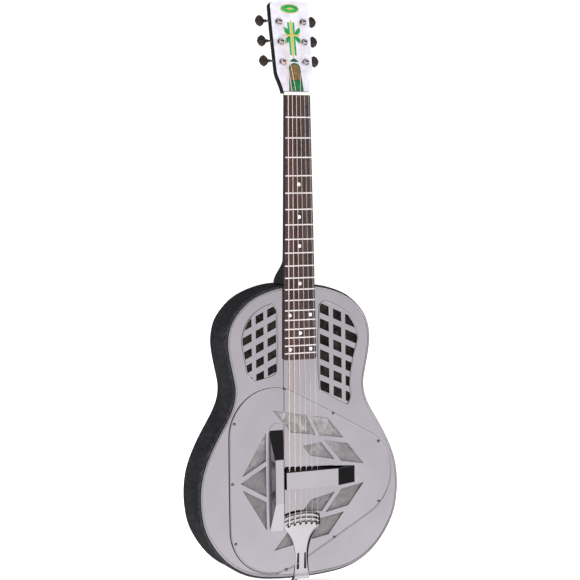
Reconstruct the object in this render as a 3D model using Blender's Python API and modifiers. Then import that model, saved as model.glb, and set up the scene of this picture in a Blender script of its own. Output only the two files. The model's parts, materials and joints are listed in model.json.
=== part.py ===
"""Resonator guitar with three cones: metal body, T-shaped bridge, wooden neck, three tuners a side.

X runs to the player's treble side, Y from the front to the back and Z up along the neck. The origin
is on the centre line, where the nut meets the fretboard, in the plane of the body's top.
"""

import math

import bmesh
import bpy
from mathutils import Vector

MM = 0.001

# Driving dimensions, in metres.
SCALE_LENGTH = 635 * MM
GAP = 0.3 * MM
BODY_DEPTH = 65 * MM
SHEET = 1.2 * MM
RIM_WALL = 1.4 * MM
RIM_LIP = 6.4 * MM
RIM_ROUND = 4 * MM
BRIDGE_Z = -633 * MM
CONE_SPACING = 152.8 * MM
BASS_CONES_X = -48.5 * MM
TREBLE_CONE_X = 91 * MM
CONE_RADIUS = 75.5 * MM
CONE_APEX_Y = 8 * MM
CONE_RIM_Y = 25.7 * MM
COVER_RADIUS = 78.5 * MM
TOP_OPENING_RADIUS = 69 * MM
COVER_FRONT = -1.5 * MM
HANDREST_TOP = -19 * MM
END_PIN_Y = 30 * MM

FRET_COUNT = 19
BOARD_LENGTH = 434 * MM
BOARD_THICK = 5.5 * MM
BOARD_HALF_NUT = 22.15 * MM
BOARD_HALF_12TH = 27.1 * MM
BOARD_FRONT = -(BOARD_THICK + GAP)
FRET_HEIGHT = 1.0 * MM
FRET_WIDTH = 2.2 * MM
NUT_DEPTH = 5.3 * MM
NECK_END_Z = -309.2 * MM
NECK_THICK_NUT = 15.5 * MM
HEEL_START = -268 * MM
HEEL_DEPTH = 60 * MM
HEEL_FULLNESS = 3.2

STRING_RADII = tuple(r * MM for r in (0.71, 0.57, 0.445, 0.33, 0.215, 0.205))
STRING_SPAN_NUT = 36.5 * MM
STRING_SPAN_SADDLE = 51.5 * MM
STRING_NUT_Y = -7.6 * MM
STRING_SADDLE_Y = -13 * MM
STRING_TAIL_Y = -11.1 * MM
STRING_TAIL_Z = -697 * MM

HEAD_TILT = math.radians(10.5)
HEAD_ORIGIN = Vector((0, -1 * MM, 5.5 * MM))
HEAD_FRONT = 1.8 * MM
HEAD_BACK = 15 * MM
VENEER = 1.5 * MM
TUNER_HEIGHTS = tuple(h * MM for h in (50, 83.6, 117.3))
TUNER_HALF_SPANS = tuple(s * MM for s in (20.3, 20.9, 21.6))
POST_RADIUS = 3 * MM
POST_TOP = 9.5 * MM
GEAR_RADIUS = 4.3 * MM
GEAR_FRONT = 17.4 * MM
GEAR_BACK = 21.4 * MM
BUSHING_BORE = 3.3 * MM
BUSHING_RADIUS = 4.6 * MM
TUNER_HOLE = 4.9 * MM
WORM_RADIUS = 1.9 * MM
WORM_HEIGHT = 6.6 * MM
WORM_DEPTH = 19.4 * MM
BUTTON_DISTANCE = 25.3 * MM
BUTTON_SIZE = Vector((16, 7.5, 18.5)) * MM
CAGE_SHARE = 1.22
HOUSING_HALF = 7.5 * MM
HOUSING_DEPTH = 8.8 * MM
HOUSING_BELOW = 8 * MM
HOUSING_ABOVE = 11.5 * MM

SCREW_BORE = 1.5 * MM
SADDLE_SLOT_HALF = 33 * MM
SADDLE_HALF = 29 * MM
PIN_BORE = 3.4 * MM
CONE_SHEET = 0.8 * MM
WELL_RADIUS = 79 * MM
WELL_SHEET = 1.5 * MM
SCREEN_THICK = 0.4 * MM
SCREEN_MARGIN = 6 * MM

# Half of the body's outline from the neck down to the tail, as (half width, height).
BODY_HALF = (
    (0, -309.8), (32, -311.2), (60, -317.5), (88, -329.5), (110, -347.5), (126, -371),
    (131.8, -402), (127.5, -436), (120, -474), (122.5, -500), (133, -524), (149, -550.5),
    (165, -580), (178, -614), (182.8, -652), (178.5, -694), (165, -727), (140, -760),
    (108, -783), (68, -795.5), (0, -799.8),
)  # fmt: skip

# Half of the headstock's outline above its origin, as (half width, height).
HEAD_HALF = (
    (22.8, -2), (23.4, 5), (27.2, 18), (31.4, 31), (32.3, 44), (33.2, 95), (34.2, 147),
    (32, 151), (16, 152.8), (0, 153.4),
)  # fmt: skip

# The two lattice windows of the upper bout, as (x, z).
LEFT_WINDOW = (
    (-41.4, -349.5), (-41.4, -451), (-48.2, -458.4), (-59.8, -461.2), (-82, -466.3),
    (-91.7, -454.3), (-94.6, -439.4), (-98.4, -419.4), (-100.8, -399.5), (-98.3, -384.5),
    (-91.5, -369.5), (-79, -355.5), (-59.6, -344.5), (-48.1, -340.5),
)  # fmt: skip
RIGHT_WINDOW = (
    (38.4, -345), (38.4, -487.5), (55.5, -497.4), (74.7, -509.2), (88.1, -517.1),
    (92.9, -503), (91.9, -478), (93.9, -458), (97.7, -438.5), (101.6, -423.6),
    (107.3, -403.7), (105.4, -391.8), (98.8, -377), (89.2, -362), (74.9, -352.2),
    (55.7, -342.3), (44.2, -339.3),
)  # fmt: skip

# Lattice of each window: the upright bars' sides, then the slanting bars' slope, the height at x = 0
# of the first one's centre line, their pitch and their height.
LEFT_LATTICE = (((-84.8, -77.1), (-63.6, -56.4)), 0.47, -341.5, 24, 11)
RIGHT_LATTICE = (((54.7, 62.9), (77.7, 85.4)), -0.44, -345.6, 25.9, 10)

# One half of the cover plate's openings, as (x, height above the bridge); the other half mirrors it.
COVER_OPENINGS = (
    ((-62.5, 80.7), (-103.9, 11.8), (-62.5, 34.2)),
    ((-48.5, 116.5), (-16.6, 78.5), (27.4, 71.6), (10.8, 105.2)),
    ((19, 103.6), (35.6, 70.2), (78.8, 63.2), (50, 98.5)),
    ((4.3, 54), (18.8, 37), (62, 27.9), (38, 58)),
    ((45.3, 60.7), (75, 23.9), (116.6, 16.4), (87, 52.7)),
)
FAN_MIDDLE = ((-107.5, 0), (-62.5, -25.5), (-62.5, 25.5))
SCREWS = (
    (-28.3, 151), (60.6, 105), (145.2, 51.6), (-117.7, 99), (-122, 0),
    (-117.7, -99), (-28.3, -151), (60.6, -105), (145.2, -51.6),
)  # fmt: skip

# Half of the tailpiece's outline, from the string head down to the tail edge.
TAILPIECE_HALF = (
    (0, -692), (18, -693.5), (33, -698), (33, -714), (28, -719), (19, -732), (13.5, -746),
    (11.6, -760), (11.6, -778), (13.5, -792), (14, -801.7),
)  # fmt: skip


# Outlines


def metres(points):
    return [(x * MM, z * MM) for x, z in points]


def mirrored(half):
    """Closed outline from its right half, whose end points lie on the centre line or are joined."""
    left = [(-x, z) for x, z in reversed(half) if x > 0]
    return list(half) + left


def smooth_loop(points, steps):
    """Closed Catmull-Rom curve through the points, with this many steps between two of them."""
    count = len(points)
    loop = []
    for i in range(count):
        p0, p1, p2, p3 = (Vector(points[(i + k) % count]) for k in (-1, 0, 1, 2))
        for step in range(steps):
            t = step / steps
            cubic = -p0 + 3 * p1 - 3 * p2 + p3
            square = 2 * p0 - 5 * p1 + 4 * p2 - p3
            loop.append(tuple(0.5 * (2 * p1 + (p2 - p0) * t + square * t**2 + cubic * t**3)))
    return loop


def signed_area(loop):
    following = loop[1:] + loop[:1]
    return sum(a[0] * b[1] - b[0] * a[1] for a, b in zip(loop, following)) / 2


def inset(loop, distance):
    """The outline moved inwards, each point along its own normal."""
    side = distance if signed_area(loop) > 0 else -distance
    count = len(loop)
    moved = []
    for i, (x, z) in enumerate(loop):
        tangent = Vector(loop[(i + 1) % count]) - Vector(loop[i - 1])
        tangent.normalize()
        moved.append((x - side * tangent.y, z + side * tangent.x))
    return moved


def circle(x, z, radius, steps=16):
    turn = math.tau / steps
    return [(x + radius * math.cos(i * turn), z + radius * math.sin(i * turn)) for i in range(steps)]


def rectangle(x0, x1, z0, z1):
    return [(x0, z0), (x1, z0), (x1, z1), (x0, z1)]


def cone_centres():
    half = CONE_SPACING / 2
    return (
        Vector((TREBLE_CONE_X, BRIDGE_Z)),
        Vector((BASS_CONES_X, BRIDGE_Z + half)),
        Vector((BASS_CONES_X, BRIDGE_Z - half)),
    )


def hull_loop(radius, steps=10):
    """Rounded triangle around the three cones: an arc about each, joined by straight edges."""
    centres = cone_centres()
    loop = []
    for i, centre in enumerate(centres):
        before = centre - centres[i - 1]
        after = centres[(i + 1) % 3] - centre
        start = math.atan2(before.y, before.x) - math.pi / 2
        turn = (math.atan2(after.y, after.x) - math.pi / 2 - start) % math.tau
        for step in range(steps + 1):
            angle = start + turn * step / steps
            loop.append((centre.x + radius * math.cos(angle), centre.y + radius * math.sin(angle)))
    return loop


def from_bridge(points, side=1):
    return [(x * MM, BRIDGE_Z + side * dz * MM) for x, dz in points]


# Objects


def clear_scene():
    for obj in list(bpy.data.objects):
        bpy.data.objects.remove(obj, do_unlink=True)


def new_collection(name):
    collection = bpy.data.collections.new(name)
    bpy.context.scene.collection.children.link(collection)
    return collection


def new_material(name, color, roughness, metallic):
    material = bpy.data.materials.new(name)
    material.use_nodes = True
    shader = material.node_tree.nodes["Principled BSDF"]
    shader.inputs["Base Color"].default_value = (*color, 1)
    shader.inputs["Roughness"].default_value = roughness
    shader.inputs["Metallic"].default_value = metallic
    return material


def place(obj, look, parent=None):
    """Puts a finished part in the guitar's collection with a material of its own."""
    GUITAR.objects.link(obj)
    material = new_material(obj.name, *look)
    obj.data.materials.clear()
    obj.data.materials.append(material)
    obj.parent = parent
    if obj.type == "MESH":
        obj.data.shade_smooth()
        obj.data.set_sharp_from_angle(angle=math.radians(35))
    return obj


def as_cutter(obj, parent=None):
    CUTTERS.objects.link(obj)
    obj.parent = parent
    obj.hide_render = True
    obj.display_type = "WIRE"
    return obj


def combine(obj, other, operation):
    modifier = obj.modifiers.new(operation.lower(), "BOOLEAN")
    modifier.operation = operation
    modifier.solver = "EXACT"
    modifier.object = other


def mesh_object(name, bm):
    mesh = bpy.data.meshes.new(name)
    bm.to_mesh(mesh)
    bm.free()
    return bpy.data.objects.new(name, mesh)


def curve_to_mesh(obj):
    """The curve as one welded mesh object of the same name, in the same place."""
    scene_objects = bpy.context.scene.collection.objects
    scene_objects.link(obj)
    graph = bpy.context.evaluated_depsgraph_get()
    mesh = bpy.data.meshes.new_from_object(obj.evaluated_get(graph))
    bm = bmesh.new()
    bm.from_mesh(mesh)
    bmesh.ops.remove_doubles(bm, verts=bm.verts, dist=0.00001)
    bmesh.ops.recalc_face_normals(bm, faces=bm.faces)
    bm.to_mesh(mesh)
    bm.free()
    name = obj.name
    matrix = obj.matrix_world.copy()
    bpy.data.objects.remove(obj, do_unlink=True)
    solid = bpy.data.objects.new(name, mesh)
    solid.matrix_world = matrix
    return solid


def plate(name, loop, front, back, holes=()):
    """Flat sheet with this outline in X and Z, from y = front to y = back."""
    curve = bpy.data.curves.new(name, "CURVE")
    curve.dimensions = "2D"
    curve.fill_mode = "BOTH"
    curve.extrude = (back - front) / 2
    for outline in (loop, *holes):
        spline = curve.splines.new("POLY")
        spline.points.add(len(outline) - 1)
        for point, (x, z) in zip(spline.points, outline):
            point.co = (x, z, 0, 1)
        spline.use_cyclic_u = True
    obj = bpy.data.objects.new(name, curve)
    obj.rotation_euler.x = math.radians(90)
    obj.location.y = (front + back) / 2
    return curve_to_mesh(obj)


def boxes(name, corner_pairs):
    """One object made of separate boxes, each given as its two corners."""
    bm = bmesh.new()
    for low, high in corner_pairs:
        low = Vector(low)
        high = Vector(high)
        for vert in bmesh.ops.create_cube(bm, size=1)["verts"]:
            share = vert.co + Vector((0.5, 0.5, 0.5))
            vert.co = low + share * (high - low)
    return mesh_object(name, bm)


def box(name, low, high):
    return boxes(name, [(low, high)])


def tapered_block(name, base, base_y, top, top_y):
    """Block whose base and top are rectangles (x0, x1, z0, z1) at two depths."""
    bm = bmesh.new()
    bmesh.ops.create_cube(bm, size=2)
    for vert in bm.verts:
        x0, x1, z0, z1 = base if vert.co.y > 0 else top
        y = base_y if vert.co.y > 0 else top_y
        vert.co = (x1 if vert.co.x > 0 else x0, y, z1 if vert.co.z > 0 else z0)
    return mesh_object(name, bm)


def cylinder(name, radius, start, end, segments=16):
    """Round bar from one point to another."""
    start = Vector(start)
    end = Vector(end)
    bm = bmesh.new()
    bmesh.ops.create_cone(
        bm,
        cap_ends=True,
        segments=segments,
        radius1=radius,
        radius2=radius,
        depth=(end - start).length,
    )
    turn = Vector((0, 0, 1)).rotation_difference(end - start)
    obj = mesh_object(name, bm)
    obj.rotation_euler = turn.to_euler()
    obj.location = (start + end) / 2
    return obj


def turned(name, profile, steps, closed=False):
    """Turned piece about local Z, from a profile of (radius, height) that runs down its outer side."""
    mesh = bpy.data.meshes.new(name)
    edges = [(i, i + 1) for i in range(len(profile) - 1)]
    if closed:
        edges.append((len(profile) - 1, 0))
    mesh.from_pydata([(r, 0, h) for r, h in profile], edges, [])
    obj = bpy.data.objects.new(name, mesh)
    screw = obj.modifiers.new("turn", "SCREW")
    screw.axis = "Z"
    screw.steps = steps
    screw.render_steps = steps
    screw.use_merge_vertices = True
    screw.merge_threshold = 0.00001
    screw.use_smooth_shade = True
    return obj


def rod(name, points, radius):
    """Wire through the points, with filled ends."""
    curve = bpy.data.curves.new(name, "CURVE")
    curve.dimensions = "3D"
    curve.bevel_depth = radius
    curve.bevel_resolution = 1
    curve.use_fill_caps = True
    spline = curve.splines.new("POLY")
    spline.points.add(len(points) - 1)
    for point, co in zip(spline.points, points):
        point.co = (*co, 1)
    return bpy.data.objects.new(name, curve)


def ring_strip(rings):
    """Open surface between closed rings that all have the same number of points."""
    bm = bmesh.new()
    rows = [[bm.verts.new(co) for co in ring] for ring in rings]
    count = len(rows[0])
    for upper, lower in zip(rows, rows[1:]):
        for i in range(count):
            j = (i + 1) % count
            bm.faces.new((upper[i], upper[j], lower[j], lower[i]))
    return bm, rows


def loft(name, rings):
    """Closed solid through rings of equal point count, with a face across each end."""
    bm, rows = ring_strip(rings)
    bm.faces.new(rows[0])
    bm.faces.new(rows[-1])
    bmesh.ops.recalc_face_normals(bm, faces=bm.faces)
    return mesh_object(name, bm)


# Looks: base colour, roughness, metallic.
CHROME = ((0.62, 0.6, 0.64), 0.12, 1.0)
DARK_COAT = ((0.02, 0.02, 0.022), 0.45, 0.3)
BLACK_LACQUER = ((0.012, 0.012, 0.013), 0.2, 0.0)
ROSEWOOD = ((0.06, 0.035, 0.035), 0.5, 0.0)
BONE = ((0.85, 0.83, 0.78), 0.4, 0.0)
PEARLOID = ((0.75, 0.73, 0.78), 0.25, 0.0)
STEEL = ((0.6, 0.6, 0.6), 0.25, 1.0)
BRONZE = ((0.65, 0.42, 0.33), 0.35, 1.0)
ALUMINIUM = ((0.75, 0.75, 0.76), 0.35, 1.0)
MAPLE = ((0.6, 0.42, 0.25), 0.5, 0.0)
BUTTON = ((0.03, 0.02, 0.018), 0.3, 0.0)
MESH = ((0.4, 0.4, 0.42), 0.5, 1.0)


# Body


def lattice_window(side, window, lattice):
    """Cutter for a lattice window: the window's outline without its upright and slanting bars."""
    uprights, slope, first, pitch, height = lattice
    xs = [x for x, _ in window]
    zs = [z for _, z in window]
    depth = 10 * MM
    cutter = as_cutter(plate(f"{side}_window_cutter", metres(window), -depth, depth))
    bars = [((x0 * MM, -0.02, -0.6), (x1 * MM, 0.02, -0.3)) for x0, x1 in uprights]
    combine(cutter, as_cutter(boxes(f"{side}_uprights", bars)), "DIFFERENCE")
    rows = int((max(zs) - min(zs)) / pitch) + 2
    left = min(xs) - 5
    right = max(xs) + 5
    slants = bmesh.new()
    for row in range(-1, rows):
        made = bmesh.ops.create_cube(slants, size=2)["verts"]
        for vert in made:
            x = right if vert.co.x > 0 else left
            z = first - row * pitch + slope * x + vert.co.z * height / 2
            vert.co = (x * MM, vert.co.y * 0.02, z * MM)
    combine(cutter, as_cutter(mesh_object(f"{side}_slants", slants)), "DIFFERENCE")
    return cutter


def pin_bore(name):
    """Cutter for the tail pin's bore, through the tail along Z."""
    tail = BODY_HALF[-1][1] * MM
    start = (0, END_PIN_Y, tail + 10 * MM)
    end = (0, END_PIN_Y, tail - 10 * MM)
    return as_cutter(cylinder(name, PIN_BORE, start, end))


def build_body():
    outline = smooth_loop(metres(mirrored(BODY_HALF)), 2)
    rounding = [math.radians(a) for a in (0, 30, 60, 90)]
    profile = [(RIM_LIP, 0.0)]
    for angle in rounding:
        profile.append((RIM_ROUND * (1 - math.sin(angle)), RIM_ROUND * (1 - math.cos(angle))))
    profile.append((0.0, BODY_DEPTH - GAP))
    rings = [[(x, y, z) for x, z in inset(outline, d)] for d, y in profile]
    rim = place(mesh_object("side_rim", ring_strip(rings)[0]), DARK_COAT)
    wall = rim.modifiers.new("wall", "SOLIDIFY")
    wall.thickness = RIM_WALL
    wall.offset = -1
    combine(rim, pin_bore("tail_hole_cutter"), "DIFFERENCE")

    back = plate("back_plate", outline, BODY_DEPTH, BODY_DEPTH + SHEET)
    place(back, DARK_COAT)

    holes = [hull_loop(TOP_OPENING_RADIUS), *screw_bores()]
    top = place(plate("top_plate", inset(outline, RIM_LIP + GAP), 0, SHEET, holes), CHROME)
    for side, window, lattice in (
        ("left", LEFT_WINDOW, LEFT_LATTICE),
        ("right", RIGHT_WINDOW, RIGHT_LATTICE),
    ):
        combine(top, lattice_window(side, window, lattice), "DIFFERENCE")
    behind = SHEET + GAP
    for name, window in (("left_screen", LEFT_WINDOW), ("right_screen", RIGHT_WINDOW)):
        outline = inset(metres(window), -SCREEN_MARGIN)
        place(plate(name, outline, behind, behind + SCREEN_THICK), MESH)


# Cover plate and what is on it


def screw_bores():
    return [circle(x, z, SCREW_BORE, 8) for x, z in from_bridge(SCREWS)]


def cover_holes():
    holes = [from_bridge(FAN_MIDDLE)]
    for opening in COVER_OPENINGS:
        holes.append(from_bridge(opening))
        holes.append(from_bridge(opening, -1))
    return holes


def saddle_slot():
    return rectangle(-SADDLE_SLOT_HALF, SADDLE_SLOT_HALF, BRIDGE_Z - 6 * MM, BRIDGE_Z + 6 * MM)


def build_cover():
    holes = [*cover_holes(), saddle_slot(), *screw_bores()]
    place(plate("cover_plate", hull_loop(COVER_RADIUS), COVER_FRONT, -GAP, holes), CHROME)
    screen = plate(
        "cover_screen",
        hull_loop(TOP_OPENING_RADIUS - 0.5 * MM),
        0.1 * MM,
        0.1 * MM + SCREEN_THICK,
        [saddle_slot()],
    )
    place(screen, MESH)
    head = COVER_FRONT - GAP
    profile = [(0, 1.5), (1.6, 1.2), (2.7, 0.3), (2.7, 0), (1.2, 0), (1.2, -3.1), (0, -3.1)]
    for number, (x, z) in enumerate(from_bridge(SCREWS), 1):
        screw = turned(f"cover_screw_{number}", metres(profile), 10)
        screw.rotation_euler.x = math.radians(90)
        screw.location = (x, head, z)
        place(screw, CHROME)


def build_handrest():
    """T-shaped cover over the bridge: an upright bar with sloping ends and a bar across the strings."""
    foot = COVER_FRONT - GAP
    wall = 1.3 * MM
    slope = 2.2 * MM

    def bar(name, shrink, base_y, top_y):
        base = (-57 * MM + shrink, -30.5 * MM - shrink, BRIDGE_Z - 84 * MM, BRIDGE_Z + 84 * MM)
        top = (-52 * MM + shrink, -38 * MM - shrink, BRIDGE_Z - 37 * MM, BRIDGE_Z + 37 * MM)
        if shrink:
            base = (base[0], base[1], base[2] + 2 * slope, base[3] - 2 * slope)
        return tapered_block(name, base, base_y, top, top_y)

    def across(name, shrink, base_y, top_y, depth):
        base = (-42 * MM, 98 * MM - 2 * shrink, BRIDGE_Z - depth, BRIDGE_Z + depth)
        top = (-42 * MM, 62 * MM - shrink, BRIDGE_Z - depth, BRIDGE_Z + depth)
        return tapered_block(name, base, base_y, top, top_y)

    rest = place(bar("handrest", 0, foot, HANDREST_TOP), CHROME)
    cross_top = HANDREST_TOP + 1.5 * MM
    cross = as_cutter(across("handrest_cross", 0, foot, cross_top, 14.2 * MM))
    combine(rest, cross, "UNION")
    hollow = as_cutter(bar("handrest_hollow", wall, foot + MM, HANDREST_TOP + wall))
    combine(rest, hollow, "DIFFERENCE")
    tunnel = as_cutter(across("handrest_tunnel", wall, foot + MM, cross_top + wall, 20 * MM))
    combine(rest, tunnel, "DIFFERENCE")


def build_tailpiece():
    """Fan-shaped string holder that leans forward to its head and folds over the tail."""
    lean = math.atan2(5.5 * MM, 105 * MM)
    tail_z = TAILPIECE_HALF[-1][1] * MM
    outline = mirrored(metres(TAILPIECE_HALF))
    slots = [
        [(side * x * MM, z * MM) for x, z in ((5.2, -759), (8.6, -759), (9.2, -785), (5.8, -787))]
        for side in (1, -1)
    ]
    fan = plate("tailpiece", outline, 0, 1.6 * MM, slots)
    low = Vector((0, -3.6 * MM, tail_z))
    fan.rotation_euler.x = math.radians(90) + lean
    pivot = Vector((0, tail_z, 0))
    pivot.rotate(fan.rotation_euler)
    fan.location = low - pivot
    place(fan, CHROME)
    fold_half = 11.5 * MM
    fold = box(
        "tailpiece_fold",
        (-fold_half, -4 * MM, tail_z - 1.2 * MM),
        (fold_half, END_PIN_Y + 8 * MM, tail_z + 0.6 * MM),
    )
    combine(fan, as_cutter(fold), "UNION")
    combine(fan, pin_bore("tailpiece_pin_cutter"), "DIFFERENCE")
    pin_profile = [
        (0, 4), (2.9, 4), (2.9, -1), (6.5, -1), (6.5, -2.5), (4, -4), (3.4, -7), (5, -10),
        (7, -11.5), (7, -13.5), (6, -14.5), (0, -14.5),
    ]  # fmt: skip
    pin = turned("end_pin", metres(pin_profile), 14)
    pin.location = (0, END_PIN_Y, tail_z - 1.2 * MM - GAP + MM)
    place(pin, CHROME)


# Inside the body


def build_inside():
    for number, centre in enumerate(cone_centres(), 1):
        drop = (CONE_RIM_Y - CONE_APEX_Y) / MM
        edge = CONE_RADIUS / MM
        front = [(0, 0), (11, 0), (13, -1.2), (edge - 6, -drop), (edge, -drop)]
        sheet = CONE_SHEET / MM
        back = [(edge, -drop - sheet), (edge - 6.2, -drop - sheet), (12.6, -2), (10.8, -sheet), (0, -sheet)]
        cone = turned(f"cone_{number}", metres(front + back), 24)
        cone.rotation_euler.x = math.radians(90)
        cone.location = (centre.x, CONE_APEX_Y, centre.y)
        place(cone, ALUMINIUM)
    floor = CONE_RIM_Y + CONE_SHEET + GAP
    outer = hull_loop(WELL_RADIUS, 8)
    well = place(plate("soundwell", outer, SHEET + 2 * GAP, floor + WELL_SHEET), ALUMINIUM)
    hollow = plate("soundwell_hollow", hull_loop(WELL_RADIUS - WELL_SHEET, 8), 0, floor)
    combine(well, as_cutter(hollow), "DIFFERENCE")
    for number, centre in enumerate(cone_centres(), 1):
        start = (centre.x, floor - 5 * MM, centre.y)
        end = (centre.x, floor + 5 * MM, centre.y)
        hole = cylinder(f"cone_hole_cutter_{number}", CONE_RADIUS - 7 * MM, start, end, 24)
        combine(well, as_cutter(hole), "DIFFERENCE")
    front = 1 * MM
    back = CONE_APEX_Y - GAP
    half = CONE_SPACING / 2 + 6 * MM
    bar_left = BASS_CONES_X - 5 * MM
    bar_right = BASS_CONES_X + 5 * MM
    arm = 5 * MM
    tee = [
        (bar_left, BRIDGE_Z - half), (bar_right, BRIDGE_Z - half), (bar_right, BRIDGE_Z - arm),
        (TREBLE_CONE_X + 6 * MM, BRIDGE_Z - arm), (TREBLE_CONE_X + 6 * MM, BRIDGE_Z + arm),
        (bar_right, BRIDGE_Z + arm), (bar_right, BRIDGE_Z + half), (bar_left, BRIDGE_Z + half),
    ]  # fmt: skip
    place(plate("t_bridge", tee, front, back), ALUMINIUM)
    saddle = box(
        "saddle",
        (-SADDLE_HALF, STRING_SADDLE_Y + MM, BRIDGE_Z - 4 * MM),
        (SADDLE_HALF, front - GAP, BRIDGE_Z),
    )
    place(saddle, MAPLE)
    stick = box(
        "neck_stick",
        (-19 * MM, 31 * MM, -797 * MM),
        (19 * MM, 49 * MM, NECK_END_Z - 3.3 * MM),
    )
    place(stick, MAPLE)


# Neck


def board_half(z):
    return BOARD_HALF_NUT + (BOARD_HALF_12TH - BOARD_HALF_NUT) * -z / (SCALE_LENGTH / 2)


def fret_z(number):
    return -SCALE_LENGTH * (1 - 2 ** (-number / 12))


def neck_ring(z, half, depth, fullness, points=14):
    """Section of the neck: flat front at y = 0 and a rounded back."""
    ring = []
    for i in range(points + 1):
        angle = math.pi * i / points
        x = math.copysign(abs(math.cos(angle)) ** (2 / fullness), math.cos(angle))
        y = math.sin(angle) ** (2 / fullness)
        ring.append((half * x, depth * y, z))
    return ring


def build_neck():
    sections = []
    for z in (6, -60, -130, -200, HEEL_START / MM):
        height = z * MM
        half = board_half(min(height, 0)) - 0.1 * MM
        sections.append(neck_ring(height, half, NECK_THICK_NUT - 0.01 * height, 2.3))
    for share in (0.15, 0.3, 0.45, 0.6, 0.8, 1):
        height = HEEL_START + (NECK_END_Z - HEEL_START) * share
        depth = 18 * MM + (HEEL_DEPTH - 18 * MM) * math.sin(share * math.pi / 2) ** 1.6
        half = board_half(height) - 0.1 * MM - 1.5 * MM * share
        sections.append(neck_ring(height, half, depth, 2.3 + HEEL_FULLNESS * share))
    neck = place(loft("neck", sections), BLACK_LACQUER)
    slab = plate("headstock_slab", mirrored(metres(HEAD_HALF)), HEAD_FRONT, HEAD_BACK)
    combine(neck, as_cutter(slab, HEAD), "UNION")
    for number, (u, v) in enumerate(tuner_places(), 1):
        start = (u, -5 * MM, v)
        end = (u, 25 * MM, v)
        hole = cylinder(f"tuner_hole_cutter_{number}", TUNER_HOLE, start, end, 14)
        combine(neck, as_cutter(hole, HEAD), "DIFFERENCE")

    veneer_half = [(0, 0.9), (22.6, 0.9)]
    veneer_half += [(max(x - 0.3, 0), z - 0.3) for x, z in HEAD_HALF if z > 0]
    holes = [circle(u, v, TUNER_HOLE, 14) for u, v in tuner_places()]
    veneer = plate("headstock_veneer", mirrored(metres(veneer_half)), 0, VENEER, holes)
    place(veneer, PEARLOID, HEAD)

    end = -BOARD_LENGTH
    corner = 3 * MM
    half = board_half(end)
    board_half_loop = [
        (BOARD_HALF_NUT, 0),
        (half, end + corner),
        (half - 0.3 * corner, end + 0.3 * corner),
        (half - corner, end),
    ]
    board = place(plate("fretboard", mirrored(board_half_loop), BOARD_FRONT, -GAP), ROSEWOOD)
    bars = []
    for number in range(1, FRET_COUNT + 1):
        z = fret_z(number)
        across = board_half(z) - 0.5 * MM
        low = (-across, BOARD_FRONT - FRET_HEIGHT, z - FRET_WIDTH / 2)
        high = (across, BOARD_FRONT + FRET_HEIGHT, z + FRET_WIDTH / 2)
        bars.append((low, high))
    combine(board, as_cutter(boxes("frets", bars)), "UNION")
    nut = box("nut", (-22.2 * MM, -6.6 * MM, GAP), (22.2 * MM, -GAP, NUT_DEPTH))
    place(nut, BONE)


# Tuners


def tuner_places():
    """(u, v) of each post on the headstock, bass side first, from the nut up on each side."""
    for side in (-1, 1):
        for height, half in zip(TUNER_HEIGHTS, TUNER_HALF_SPANS):
            yield side * half, height


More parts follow.
